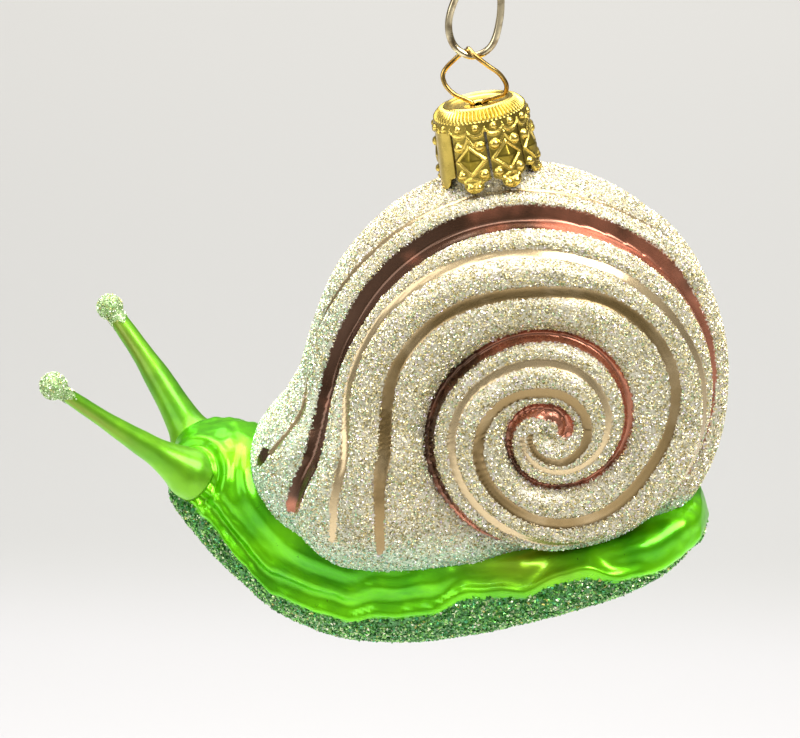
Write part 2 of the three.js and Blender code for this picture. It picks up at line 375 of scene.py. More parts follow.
class Graph:
    """A material's or a group's nodes, placed and linked by short calls."""

    def __init__(self, tree: bpy.types.NodeTree) -> None:
        """Starts on an empty tree."""
        self.tree = tree

    def add(self, kind: str, inputs: dict | None = None, **settings: object) -> bpy.types.Node:
        """Adds a node.

        Args:
            kind: its type, without the ShaderNode that all have.
            inputs: a value or an output for each named or numbered socket.
            settings: the node's own properties.

        Returns:
            The node.
        """
        node = self.tree.nodes.new("ShaderNode" + kind)
        for key, value in settings.items():
            setattr(node, key, value)
        for key, value in (inputs or {}).items():
            self.put(node.inputs[key], value)
        return node

    def put(self, socket: bpy.types.NodeSocket, value: object) -> None:
        """Links an output to the socket, or sets its value."""
        if isinstance(value, bpy.types.NodeSocket):
            self.tree.links.new(value, socket)
        elif isinstance(value, tuple) and len(value) == 3 and socket.type == "RGBA":
            socket.default_value = (*value, 1.0)
        else:
            socket.default_value = value

    def math(self, operation: str, a: object, b: object = 0.0, clamp: bool = False) -> object:
        """Returns the output of a math node on a and b."""
        return self.add("Math", {0: a, 1: b}, operation=operation, use_clamp=clamp).outputs[0]

    def value(self, name: str) -> bpy.types.NodeSocket:
        """Returns the mesh's number of that name."""
        return self.add("Attribute", attribute_name=name).outputs["Fac"]

    def step(self, value: object, low: float, high: float) -> bpy.types.NodeSocket:
        """Returns a smooth rise from 0 at low to 1 at high."""
        inputs = {"Value": value, "From Min": low, "From Max": high}
        return self.add("MapRange", inputs, interpolation_type="SMOOTHSTEP").outputs["Result"]

    def mix(self, share: object, a: object, b: object) -> bpy.types.NodeSocket:
        """Returns colour a turned into colour b by share."""
        node = self.add("Mix", data_type="RGBA")
        self.put(node.inputs[0], share)
        self.put(node.inputs[6], a)
        self.put(node.inputs[7], b)
        return node.outputs[2]

    def blend(self, share: object, a: object, b: object) -> bpy.types.NodeSocket:
        """Returns number a turned into number b by share."""
        node = self.add("Mix", data_type="FLOAT")
        self.put(node.inputs[0], share)
        self.put(node.inputs[2], a)
        self.put(node.inputs[3], b)
        return node.outputs[0]

    def steps(self, share: object, stops: Sequence[tuple]) -> bpy.types.NodeSocket:
        """Returns the colour that share falls on, of (place, colour) stops that hold to the next."""
        node = self.add("ValToRGB", {"Fac": share})
        node.color_ramp.interpolation = "CONSTANT"
        while len(node.color_ramp.elements) < len(stops):
            node.color_ramp.elements.new(0.5)
        for element, (place, colour) in zip(node.color_ramp.elements, stops):
            element.position = place
            element.color = (*colour, 1.0)
        return node.outputs["Color"]


def new_group(name: str, inputs: Sequence[tuple], outputs: Sequence[tuple]) -> tuple:
    """An empty shader group with named sockets.

    Args:
        name: the group's name.
        inputs: (name, socket kind, default) rows.
        outputs: (name, socket kind) rows.

    Returns:
        The tree, its Graph, its input node and its output node.
    """
    tree = bpy.data.node_groups.new(name, "ShaderNodeTree")
    for label, kind, default in inputs:
        socket = tree.interface.new_socket(label, in_out="INPUT", socket_type="NodeSocket" + kind)
        socket.default_value = default
    for label, kind in outputs:
        tree.interface.new_socket(label, in_out="OUTPUT", socket_type="NodeSocket" + kind)
    return tree, Graph(tree), tree.nodes.new("NodeGroupInput"), tree.nodes.new("NodeGroupOutput")


class Effects:
    """The shader groups that several finishes share, each built once."""

    def __init__(self) -> None:
        """Builds the groups."""
        self.sparkle = self._sparkle()
        self.drift = self._drift()
        self.wear = self._wear()

    def _sparkle(self) -> bpy.types.NodeTree:
        """Returns the fine glitter dust: cells of random tone and tilt."""
        tree, graph, given, result = new_group(
            "glitter_dust",
            [("Grains per mm", "Float", 3.0)],
            [("Tone", "Float"), ("Height", "Float"), ("Glint", "Float")],
        )
        place = graph.add("TexCoord").outputs["Object"]
        scale = graph.math("MULTIPLY", given.outputs["Grains per mm"], 1 / MM)
        cells = graph.add("TexVoronoi", {"Vector": place, "Scale": scale}, feature="F1")
        parts = graph.add("SeparateColor", {"Color": cells.outputs["Color"]})
        graph.put(result.inputs["Tone"], parts.outputs[0])
        tilted = graph.math("MULTIPLY", parts.outputs[1], cells.outputs["Distance"])
        graph.put(result.inputs["Height"], graph.math("ADD", parts.outputs[2], tilted))
        graph.put(result.inputs["Glint"], graph.step(parts.outputs[2], 0.82, 0.9))
        return tree

    def _drift(self) -> bpy.types.NodeTree:
        """Returns the uneven thickness of sprayed lacquer: broad clouds and fine orange peel."""
        tree, graph, given, result = new_group(
            "lacquer_drift",
            [("Cloud size", "Float", 9.0), ("Peel size", "Float", 0.8)],
            [("Cloud", "Float"), ("Peel", "Float")],
        )
        place = graph.add("TexCoord").outputs["Object"]
        for label, size, detail in (("Cloud", "Cloud size", 3.0), ("Peel", "Peel size", 2.0)):
            scale = graph.math("DIVIDE", 1 / MM, given.outputs[size])
            noise = graph.add("TexNoise", {"Vector": place, "Scale": scale, "Detail": detail})
            graph.put(result.inputs[label], noise.outputs["Fac"])
        return tree

    def _wear(self) -> bpy.types.NodeTree:
        """Returns the marks of drawing and handling on metal: fine scratches and dull patches."""
        tree, graph, given, result = new_group(
            "metal_handling",
            [("Patch size", "Float", 2.5)],
            [("Scratch", "Float"), ("Dull", "Float")],
        )
        place = graph.add("TexCoord").outputs["Object"]
        across, along = 0.9 / MM, 9.0 / MM
        stretched = graph.add("Mapping", {"Vector": place, "Scale": (across, across, along)})
        lines = graph.add("TexNoise", {"Vector": stretched.outputs[0], "Scale": 1.0, "Detail": 2.0})
        scale = graph.math("DIVIDE", 1 / MM, given.outputs["Patch size"])
        patches = graph.add("TexNoise", {"Vector": place, "Scale": scale, "Detail": 4.0})
        graph.put(result.inputs["Scratch"], lines.outputs["Fac"])
        graph.put(result.inputs["Dull"], graph.step(patches.outputs["Fac"], 0.42, 0.66))
        return tree


def new_material(name: str, plain: dict[str, object]) -> tuple:
    """A material with one Principled shader.

    Args:
        name: the material's name.
        plain: the shader's values that are the same all over.

    Returns:
        The material, its Graph and its shader node.
    """
    material = bpy.data.materials.new(name)
    material.use_nodes = True
    graph = Graph(material.node_tree)
    shader = material.node_tree.nodes["Principled BSDF"]
    for key, value in plain.items():
        graph.put(shader.inputs[key], value)
    return material, graph, shader


def place_group(graph: Graph, tree: bpy.types.NodeTree, **inputs: object) -> bpy.types.Node:
    """Places a shared group in a material, with its inputs given as words_with_underscores."""
    named = {key.replace("_", " "): value for key, value in inputs.items()}
    node = graph.add("Group")
    node.node_tree = tree
    for socket in node.inputs:
        if socket.name in named:
            graph.put(socket, named[socket.name])
    return node


def ragged_mask(graph: Graph, dust: bpy.types.Node, name: str, ragged: float, soft: float) -> object:
    """A mask whose edge is as ragged as the grains that lie along it.

    Args:
        graph: the material's nodes.
        dust: the placed glitter_dust group.
        name: the mesh's number that gives the distance outside the edge, in millimetres.
        ragged: how far the grains move the edge.
        soft: half the edge's width: above 0 for a mask of the inside, below 0 for the outside.

    Returns:
        The mask's output.
    """
    shift = graph.math("MULTIPLY", graph.math("SUBTRACT", dust.outputs["Tone"], 0.5), ragged)
    return graph.step(graph.math("ADD", graph.value(name), shift), soft, -soft)


def add_bump(graph: Graph, shader: bpy.types.Node, height: object, depth_mm: float) -> None:
    """Feeds a height, in shares of depth_mm, to the shader's normal."""
    bump = graph.add("Bump", {"Height": height, "Distance": depth_mm * MM, "Strength": 1.0})
    graph.put(shader.inputs["Normal"], bump.outputs["Normal"])


class GlitterMix(Enum):
    """Which colours of flake a coat of glitter holds, as (lowest tint, colour) rows.

    Tints up to 0.5 are the mint flakes near the green body, partly a painted green reflection of the
    body, and those above it are the usual mix.
    """

    SHELL = (
        (0.00, (0.96, 0.99, 0.92)), (0.07, (0.62, 0.84, 0.60)), (0.17, (0.82, 0.91, 0.70)),
        (0.33, (0.62, 0.80, 0.56)), (0.43, (0.30, 0.58, 0.42)),
        (0.50, (0.36, 0.31, 0.12)), (0.58, (0.40, 0.54, 0.30)), (0.62, (0.64, 0.53, 0.23)),
        (0.72, (0.76, 0.68, 0.42)), (0.83, (0.90, 0.83, 0.60)), (0.92, (0.82, 0.72, 0.84)),
        (0.96, (1.0, 0.98, 0.90)),
    )
    SOLE = (
        (0.00, (0.03, 0.16, 0.02)), (0.64, (0.11, 0.38, 0.05)), (0.76, (0.28, 0.54, 0.14)),
        (0.86, (0.50, 0.62, 0.32)), (0.93, (0.10, 0.50, 0.20)), (0.96, (0.82, 0.84, 0.62)),
        (0.985, (0.60, 0.54, 0.14)),
    )
    TIP = (
        (0.00, (0.40, 0.56, 0.26)), (0.67, (0.62, 0.72, 0.42)), (0.80, (0.26, 0.46, 0.16)),
        (0.88, (0.92, 0.95, 0.82)), (0.95, (0.54, 0.50, 0.15)),
    )


@dataclass(frozen=True)
class GlitterFlake:
    """The finish of the loose grains: thin mirrored film, cut small, in mixed tints."""

    mix: GlitterMix
    roughness: float = 0.2
    metallic: float = 0.78
    metallic_spread: float = 0.35

    def material(self, name: str) -> bpy.types.Material:
        """Returns the material, tinted grain by grain."""
        material, graph, shader = new_material(name, {"Coat Weight": 0.3, "Coat Roughness": 0.08})
        tint = graph.value("tint")
        graph.put(shader.inputs["Base Color"], graph.steps(tint, self.mix.value))
        spread = graph.math("FRACT", graph.math("MULTIPLY", tint, 37.0))
        rough = graph.blend(spread, self.roughness * 0.5, self.roughness * 2.0)
        graph.put(shader.inputs["Roughness"], rough)
        metal = graph.blend(spread, self.metallic, self.metallic - self.metallic_spread)
        graph.put(shader.inputs["Metallic"], metal)
        return material


@dataclass(frozen=True)
class ShellCoat:
    """The shell's lacquers: champagne under the glitter, copper-brown seam, cream grooves."""

    champagne: tuple = (0.46, 0.41, 0.28)
    khaki: tuple = (0.27, 0.24, 0.12)
    cream: tuple = (0.57, 0.44, 0.25)
    olive: tuple = (0.25, 0.165, 0.06)
    copper: tuple = (0.48, 0.175, 0.10)
    umber: tuple = (0.10, 0.045, 0.022)
    mint: tuple = (0.36, 0.62, 0.40)
    dust_dark: tuple = (0.30, 0.28, 0.18)
    dust_light: tuple = (0.85, 0.82, 0.72)
    ragged: float = 0.34
    soft: float = 0.12
    lacquer_metallic: float = 0.82
    bump_depth: float = 0.12

    def material(self, effects: Effects) -> bpy.types.Material:
        """Builds the shell's material from the distances stored in its mesh.

        Args:
            effects: the shared groups.

        Returns:
            The material.
        """
        material, graph, shader = new_material(
            "shell_lacquers", {"Coat Weight": 0.5, "Coat Roughness": 0.16, "IOR": 1.5}
        )
        dust = place_group(graph, effects.sparkle, Grains_per_mm=3.4)
        drift = place_group(graph, effects.drift, Cloud_size=7.0, Peel_size=0.5)
        cloud = drift.outputs["Cloud"]
        in_seam = ragged_mask(graph, dust, "seam_edge", self.ragged, self.soft)
        in_groove = ragged_mask(graph, dust, "groove_edge", self.ragged, self.soft)
        bare = graph.math("MAXIMUM", in_seam, in_groove)
        ground = graph.mix(graph.step(cloud, 0.35, 0.65), self.champagne, self.khaki)
        # the lacquer turns mint near the green body and towards the head: partly mint lacquer, partly a
        # painted green reflection of the body
        ground = graph.mix(graph.value("low"), ground, self.mint)
        speck = graph.mix(dust.outputs["Tone"], self.dust_dark, self.dust_light)
        glitter = graph.mix(0.5, ground, speck)
        groove = graph.mix(graph.value("groove_tone"), self.cream, self.olive)
        groove = graph.mix(graph.step(cloud, 0.45, 0.95), groove, self.cream)
        # patchy copper and umber, with the seam's left part, except low down, painted darker as a
        # painted dark reflection
        dark = graph.math("ADD", cloud, graph.math("MULTIPLY", graph.value("seam_tone"), 0.26))
        seam = graph.mix(graph.step(dark, 0.40, 0.72), self.copper, self.umber)
        colour = graph.mix(in_groove, glitter, groove)
        colour = graph.mix(in_seam, colour, seam)
        graph.put(shader.inputs["Base Color"], colour)
        rough = graph.blend(dust.outputs["Tone"], 0.22, 0.55)
        smooth = graph.blend(cloud, 0.20, 0.30)
        graph.put(shader.inputs["Roughness"], graph.blend(bare, rough, smooth))
        metal = graph.blend(dust.outputs["Glint"], 0.35, 0.9)
        graph.put(shader.inputs["Metallic"], graph.blend(bare, metal, self.lacquer_metallic))
        flat = graph.math("MULTIPLY", drift.outputs["Peel"], 0.10)
        add_bump(graph, shader, graph.blend(bare, dust.outputs["Height"], flat), self.bump_depth)
        return material


@dataclass(frozen=True)
class LimeLacquer:
    """Transparent lime lacquer over silvered glass, with darker lacquer under the green glitter."""

    lime: tuple = (0.17, 0.66, 0.0)
    deep: tuple = (0.055, 0.36, 0.0)
    olive: tuple = (0.33, 0.36, 0.02)
    sole: tuple = (0.015, 0.08, 0.02)
    sole_light: tuple = (0.10, 0.34, 0.10)
    roughness: float = 0.32
    metallic: float = 0.62
    sole_metallic: float = 0.4
    sole_roughness: float = 0.4
    bump_depth: float = 0.1

    def material(self, effects: Effects, name: str) -> bpy.types.Material:
        """Builds the green material.

        Args:
            effects: the shared groups.
            name: the material's name.

        Returns:
            The material.
        """
        plain = {"Coat Weight": 0.35, "Coat Roughness": 0.12, "Specular Tint": (0.6, 1.0, 0.3)}
        material, graph, shader = new_material(name, plain)
        drift = place_group(graph, effects.drift, Cloud_size=11.0, Peel_size=1.4)
        cloud = graph.step(drift.outputs["Cloud"], 0.32, 0.68)
        colour = graph.mix(cloud, self.lime, self.deep)
        colour = graph.mix(graph.value("thin"), colour, self.olive)
        rough = graph.blend(drift.outputs["Peel"], self.roughness * 0.7, self.roughness * 1.3)
        height = graph.math("MULTIPLY", drift.outputs["Peel"], 0.5)
        dust = place_group(graph, effects.sparkle, Grains_per_mm=3.2)
        band = ragged_mask(graph, dust, "band_edge", 0.5, -0.15)
        speck = graph.mix(dust.outputs["Tone"], self.sole, self.sole_light)
        colour = graph.mix(band, colour, speck)
        height = graph.blend(band, height, dust.outputs["Height"])
        graph.put(shader.inputs["Base Color"], colour)
        graph.put(shader.inputs["Roughness"], graph.blend(band, rough, self.sole_roughness))
        graph.put(shader.inputs["Metallic"], graph.blend(band, self.metallic, self.sole_metallic))
        add_bump(graph, shader, height, self.bump_depth)
        return material


@dataclass(frozen=True)
class LacqueredMetal:
    """Thin metal with a tinted lacquer and dull patches; stamped metal is painted bright on what stands
    out and dark in the hollows, as painted highlight and painted shade.
    """

    bright: tuple
    dull_and_shade: tuple
    roughness: float
    stamped: bool = False

    def material(self, effects: Effects, name: str) -> bpy.types.Material:
        """Builds the metal's material.

        Args:
            effects: the shared groups.
            name: the material's name.

        Returns:
            The material.
        """
        material, graph, shader = new_material(name, {"Metallic": 1.0})
        wear = place_group(graph, effects.wear, Patch_size=2.2)
        dull = graph.math("MULTIPLY", wear.outputs["Dull"], 0.8)
        if self.stamped:
            # stamped metal: painted shade in the hollows and painted highlight on what stands out, from
            # how raised the sheet reads
            sunk = graph.math("MULTIPLY", graph.step(graph.value("raised"), 0.30, -0.20), 0.80)
            dull = graph.math("ADD", sunk, graph.math("MULTIPLY", dull, 0.22), True)
        graph.put(shader.inputs["Base Color"], graph.mix(dull, self.bright, self.dull_and_shade))
        rough = graph.blend(wear.outputs["Scratch"], self.roughness * 0.7, self.roughness * 1.4)
        rough = graph.math("ADD", rough, graph.math("MULTIPLY", dull, 0.1))
        graph.put(shader.inputs["Roughness"], rough)
        add_bump(graph, shader, wear.outputs["Scratch"], 0.008)
        return material


class Metal(Enum):
    """The metals of the cap, the loop and the hook."""

    GOLD = LacqueredMetal((0.82, 0.61, 0.14), (0.14, 0.105, 0.004), 0.22, stamped=True)
    BRONZE = LacqueredMetal((0.56, 0.37, 0.11), (0.18, 0.085, 0.015), 0.14)
    STEEL = LacqueredMetal((0.68, 0.58, 0.38), (0.16, 0.10, 0.045), 0.12)


# ---------------------------------------------------------------- shell


@dataclass
class SpiralShell:
    """The glittered shell: a wide lens wound with three ridges to each whorl, alike on both sides."""

    centre: tuple[float, float] = (13.0, -88.5)
    half_width: float = 18.5
    around: int = 464
    across: int = 206
    outline: Table = (
        (0, 27.0), (30, 28.7), (60, 31.8), (90, 35.4), (120, 37.6), (150, 38.4), (174, 38.9),
        (184, 42.2), (188, 45.6), (192, 48.8), (197, 50.6), (203, 50.2), (208, 48.7), (214, 46.8),
        (221, 43.9), (228, 40.0), (242, 32.2), (258, 26.8), (285, 26.7), (320, 27.6),
    )
    fullness: Table = (
        (0, 2.3), (120, 2.3), (160, 2.5), (188, 3.2), (222, 4.6), (250, 4.0), (285, 2.6), (330, 2.3),
    )
    seam: Table = (
        (-150, 0.0), (-110, 0.8), (-60, 2.1), (-15, 2.8), (60, 2.5), (112, 2.8), (194, 6.1),
        (258, 9.4), (308, 11.0), (359, 12.3), (422, 14.0), (492, 15.3), (549, 18.7), (600, 20.6),
        (659, 23.4), (717, 25.6), (765, 28.3), (830, 32.1), (887, 34.2), (910, 37.2), (922, 43.0),
        (930, 44.2), (940, 42.0), (950, 38.4), (965, 33.5), (985, 31.0), (1080, 31.0),
    )
    seam_ends: tuple[float, float] = (-15.0, 921.0)
    seam_half: Table = (
        (-15, 1.15), (60, 1.35), (115, 1.25), (170, 0.75), (250, 0.55), (330, 0.75), (450, 0.95),
        (540, 0.95), (590, 0.8), (660, 0.9), (730, 1.8), (790, 2.05), (850, 2.1), (895, 1.7), (921, 1.5),
    )
    inner_groove: Table = (
        (291, 0.45), (379, 0.31), (458, 0.28), (526, 0.33), (569, 0.40), (634, 0.42), (695, 0.34),
        (742, 0.43), (784, 0.41), (819, 0.36), (856, 0.42), (880, 0.42), (895, 0.37), (905, 0.35),
        (914, 0.345), (927, 0.37), (935, 0.48), (941, 0.62),
    )
    outer_groove: Table = (
        (229, 0.65), (420, 0.66), (478, 0.68), (551, 0.71), (609, 0.74), (650, 0.78), (690, 0.84),
        (737, 0.72), (763, 0.66), (820, 0.67), (853, 0.74), (873, 0.77), (890, 0.745), (900, 0.71),
        (914, 0.67), (925, 0.675), (932, 0.77), (936, 0.84),
    )
    shoulder_groove: Table = (
        (758, 8.7), (770, 6.8), (785, 5.4), (800, 4.9), (840, 5.1), (870, 6.0), (887, 7.2),
        (895, 5.9), (901, 4.3), (906, 5.4), (911, 8.6), (914, 11.0),
    )
    # past this angle nothing lies outside the seam's last pass
    no_whorl_after: float = 290.0
    # a whorl's broad swell: height as a share of the width, the widest counted, its rise and its sink
    swell: float = 0.135
    swell_widest: float = 19.0
    swell_rise: float = 1.35
    swell_sink: float = 0.35
    # a ridge's height as a share of its width, and the most it stands out
    ridge_share: float = 0.26
    ridge_most: float = 1.35
    # half a groove's width as a share of the whorl's, and its limits
    groove_half: tuple[float, float, float] = (0.06, 0.36, 0.72)
    # the dark drop at the lip: degrees turned, distance past the seam, radius
    drop: tuple[float, float, float] = (911.5, 10.0, 1.35)
    # how far the inner side of a seam stands up and the outer side drops, and over what distance
    step_up: tuple[float, float] = (0.55, 2.4)
    step_down: tuple[float, float] = (0.95, 3.6)
    seam_depth: float = 0.3
    unevenness: float = 0.10

    def section(self, degrees: np.ndarray, height: np.ndarray) -> tuple[np.ndarray, np.ndarray]:
        """The smooth lens under the relief, on the near side.

        Args:
            degrees: angle round the shell from +X towards +Z.
            height: 0 at the middle of the side to 1 on the rim.

        Returns:
            Points, and their distance from the middle in the plane of the shell.
        """
        reach = smooth_table(self.outline, degrees, 360.0)
        power = smooth_table(self.fullness, degrees, 360.0)
        sine, cosine = np.sin(height * math.pi / 2), np.maximum(np.cos(height * math.pi / 2), 0.0)
        scale = (sine**power + cosine**power) ** (-1 / power)
        angle = np.radians(degrees)
        radius = reach * sine * scale
        x = self.centre[0] + radius * np.cos(angle)
        z = self.centre[1] + radius * np.sin(angle)
        return np.stack([x, -self.half_width * cosine * scale, z], -1), radius

    def outside(self, points: np.ndarray) -> np.ndarray:
        """Returns about how far outside the smooth lens points lie."""
        x, z = points[..., 0] - self.centre[0], points[..., 2] - self.centre[1]
        degrees = np.degrees(np.arctan2(z, x))
        reach = smooth_table(self.outline, degrees, 360.0)
        power = smooth_table(self.fullness, degrees, 360.0)
        share = (np.hypot(x, z) / reach) ** power + (np.abs(points[..., 1]) / self.half_width) ** power
        away = np.sqrt(x * x + z * z + points[..., 1] ** 2)
        return (1 - np.maximum(share, 1e-6) ** (-1 / power)) * away

    def holds(self, points: np.ndarray, margin: float = 0.0) -> np.ndarray:
        """Returns which points lie inside the smooth lens, grown by margin."""
        return self.outside(points) < margin

    def grid(self) -> tuple[np.ndarray, ...]:
        """Rows evenly spaced over the skin.

        Returns:
            For each angle and row: angle, height, distance over the skin from the middle, and for
            each angle: a fine table of radius and of that distance.
        """
        degrees = np.linspace(0, 360, self.around, endpoint=False)
        fine = np.linspace(0, 1, 500)
        points, radius = self.section(degrees[:, None] + 0 * fine, fine[None, :] + 0 * degrees[:, None])
        steps = np.linalg.norm(np.diff(points, axis=1), axis=-1)
        arc = np.concatenate([np.zeros((self.around, 1)), np.cumsum(steps, axis=1)], axis=1)
        half = self.across // 2
        share = np.arange(1, half + 1) / half
        height = np.stack([np.interp(share * row[-1], row, fine) for row in arc])
        run = share[None, :] * arc[:, -1:]
        return np.repeat(degrees[:, None], half, 1), height, run, radius, arc

    def seams(self, degrees: np.ndarray, radius: np.ndarray, arc: np.ndarray) -> np.ndarray:
        """Returns how far over the skin each pass of the seam lies, as an (angle, pass) array."""
        found = []
        for turn in range(-1, 3):
            wound = degrees + 360.0 * turn
            reach = np.maximum(smooth_table(self.seam, wound), 0.0)
            run = np.array([np.interp(r, row_r, row_a) for r, row_r, row_a in zip(reach, radius, arc)])
            run += np.maximum(reach - radius[:, -1], 0.0)
            if turn == -1:
                run[wound < self.seam[0][0]] = 0.0
            if turn == 2:
                run[degrees > self.no_whorl_after] = 1e3
            found.append(run)
        return np.stack(found, 1)

    def slant(self, wound: np.ndarray) -> np.ndarray:
        """Returns how much shorter the way square across the seam is than the way outwards."""
        reach = np.maximum(smooth_table(self.seam, wound), 1.0)
        step = 1.5
        rise = smooth_table(self.seam, wound + step) - smooth_table(self.seam, wound - step)
        rise /= math.radians(2 * step)
        return 1 / np.sqrt(1 + (rise / reach) ** 2)

    def relief(self) -> dict[str, np.ndarray]:
        """Works out the winding at every point of one side.

        Returns:
            Arrays by name: the base points, the lift of the skin, and how far the point is outside
            the edge of the seam and of the nearest groove.
        """
        degrees, height, run, radius, arc = self.grid()
        passes = self.seams(degrees[:, 0], radius, arc)
        count = (run[:, :, None] >= passes[:, None, :]).sum(-1)
        padded = np.concatenate([np.zeros((self.around, 1)), passes, np.full((self.around, 1), 1e3)], 1)
        rows = np.arange(self.around)[:, None]
        inner, outer = padded[rows, count], padded[rows, np.minimum(count + 1, 5)]
        wound = degrees + 360.0 * (count - 1)
        open_band = outer > 500.0
        width = np.where(open_band, 1.0, np.maximum(outer - inner, 0.05))
        share = np.clip((run - inner) / width, 0, 1)
        first = smooth_table(self.inner_groove, wound)
        second = smooth_table(self.outer_groove, wound)
        lift, groove_edge = self._ridges(share, width, first, second, wound)
        tone = np.where(np.abs(share - first) < np.abs(share - second), 1.0, 0.15)
        band_lift, band_edge = self._outer_band(run - inner, arc[:, -1:] - inner, wound - 360.0)
        lift = np.where(open_band, band_lift * (1 - fade(wound - 360.0, 902, 918)), lift)
        groove_edge = np.where(open_band, band_edge, groove_edge)
        tone = np.where(open_band, 0.45, tone)
        seam_edge = self._seam_edge(degrees, run, passes)
        at_angle, past, wide = self.drop
        reach = 46.0
        spot = np.hypot(run - inner - past, np.radians(wound - 360.0 - at_angle) * reach) - wide
        lift += self._steps(degrees, run, passes) - self.seam_depth * (1 - fade(seam_edge, -0.7, 0.3))
        seam_edge = np.where(open_band, np.minimum(seam_edge, spot), seam_edge)
        base, _ = self.section(degrees, height)
        return {"base": base, "lift": lift, "seam": seam_edge, "groove": groove_edge, "tone": tone}

    def _ridges(
        self,
        share: np.ndarray,
        width: np.ndarray,
        first: np.ndarray,
        second: np.ndarray,
        wound: np.ndarray,
    ) -> tuple[np.ndarray, np.ndarray]:
        """The three rounded ridges of a whorl, on its own broad swell.

        Args:
            share: 0 at the inner seam to 1 at the outer seam.
            width: of the whorl over the skin.
            first: where the inner groove lies, as a share.
            second: where the outer groove lies.
            wound: degrees turned at the outer seam.

        Returns:
            The lift, and how far outside the edge of the nearest groove a point is.
        """
        half = np.clip(self.groove_half[0] * width, *self.groove_half[1:])
        rim_in = smooth_table(self.seam_half, np.clip(wound - 360.0, *self.seam_ends))
        rim_out = smooth_table(self.seam_half, np.clip(wound, *self.seam_ends))
        low = np.where(share < second, first, second) + half / width
        low = np.where(share < first, rim_in / width, low)
        high = np.where(share < first, first, second) - half / width
        high = np.where(share < second, high, 1 - rim_out / width)
        place = np.clip((share - low) / np.maximum(high - low, 1e-3), 0, 1)
        tall = np.minimum(self.ridge_share * (high - low) * width, self.ridge_most)
        ridge = tall * (1 - np.abs(2 * place - 1) ** 2.2)
        flat = 1 - fade(wound, 916, 944)
        rounded = self.swell_rise * np.sin(math.pi * share) ** 0.85
        rounded = rounded - self.swell_sink * (1 - fade(wound, 903, 919))
        swell = self.swell * np.minimum(width, self.swell_widest) * rounded
        swell = swell * (1 - fade(wound, 925, 950))
        slant = self.slant(wound)
        per_degree = math.radians(1.0) * 40
        past_first = np.maximum(wound - 939.0, 0) * per_degree
        past_second = np.maximum(wound - 930.0, 0) * per_degree
        to_first = np.hypot((share - first) * width * slant, past_first) - half * 1.3
        to_second = np.hypot((share - second) * width * slant, past_second) - half
        started = np.where(wound < 200, 5.0, 0.0)
        calm = 1 - 0.6 * hump(wound, 738, 42)
        return (ridge * flat + swell) * calm, np.minimum(to_first, to_second) + started

    def _outer_band(
        self, past: np.ndarray, rim: np.ndarray, wound: np.ndarray
    ) -> tuple[np.ndarray, np.ndarray]:
        """The shoulder outside the last pass of the seam: one ridge, a thin groove and the rim's ridge.

        Args:
            past: distance over the skin past the seam.
            rim: the same at the rim.
            wound: degrees turned at that pass.

        Returns:
            The lift, and how far outside the edge of the thin groove a point is.
        """
        groove = np.minimum(smooth_table(self.shoulder_groove, wound), rim - 0.05)
        has_groove = fade(wound, 752, 770) * (1 - fade(wound, 910.5, 913))
        inside = past < groove
        first = np.minimum(0.20 * groove, 1.25) * (1 - np.abs(2 * past / groove - 1) ** 2.3)
        over = np.clip((past - groove) / np.maximum(rim - groove, 0.1), 0, 1)
        second = np.minimum(0.20 * (rim - groove), 0.95) * (1 - (1 - over) ** 2.4)
        whole = 0.95 * (1 - (1 - np.clip(past / np.maximum(rim, 0.1), 0, 1)) ** 2.2)
        lift = has_groove * np.where(inside, first, second) + (1 - has_groove) * whole
        lift = lift - self.swell_sink * self.swell * self.swell_widest * (1 - fade(past, 0, 4.5))
        edge = np.abs(past - groove) - 0.55 - 0.3 * fade(wound, 840, 870) + 4.0 * (1 - has_groove)
        return lift, edge

    def _seam_edge(self, degrees: np.ndarray, run: np.ndarray, passes: np.ndarray) -> np.ndarray:
        """Returns how far outside the dark seam's edge each point is, with the seam's ends rounded."""
        best = np.full(run.shape, 9.0)
        first, last = self.seam_ends
        for index in range(4):
            wound = degrees + 360.0 * (index - 1)
            reach = np.maximum(smooth_table(self.seam, wound), 1.0)
            beyond = np.maximum(wound - last, 0) + np.maximum(first - wound, 0)
            along = np.radians(beyond) * reach / self.slant(wound)
            square = (run - passes[:, index : index + 1]) * self.slant(wound)
            held = smooth_table(self.seam_half, np.clip(wound, first, last))
            best = np.minimum(best, np.hypot(square, along) - held)
        return best

    def _steps(self, degrees: np.ndarray, run: np.ndarray, passes: np.ndarray) -> np.ndarray:
        """Returns the lift that stands each inner whorl a little over the next one out."""
        total = np.zeros(run.shape)
        for index in (1, 2, 3):
            past = run - passes[:, index : index + 1]
            strong = fade(degrees, 130, 185) * (1 - fade(degrees, 290, 335)) * (index == 2)
            amount = (0.22 + 0.78 * strong) * (1 - (index == 3) * fade(degrees, 190, 202))
            outside = fade(past, -0.4, 0.5)
            total += amount * self.step_up[0] * hump(past, 0, self.step_up[1]) * (1 - outside)
            total -= amount * self.step_down[0] * hump(past, 0, self.step_down[1]) * outside
        return total

    def lifted(self, base: np.ndarray, lift: np.ndarray) -> np.ndarray:
        """Returns the base points moved out along the skin's own normals by lift."""
        round_step = np.roll(base, -1, 0) - np.roll(base, 1, 0)
        out_step = np.gradient(base, axis=1)
        normal = unit(np.cross(out_step, round_step))
        toward = base - np.array([self.centre[0], 0.0, self.centre[1]])
        normal *= np.sign(np.einsum("ijk,ijk->ij", normal, toward))[..., None]
        return base + normal * lift[..., None]

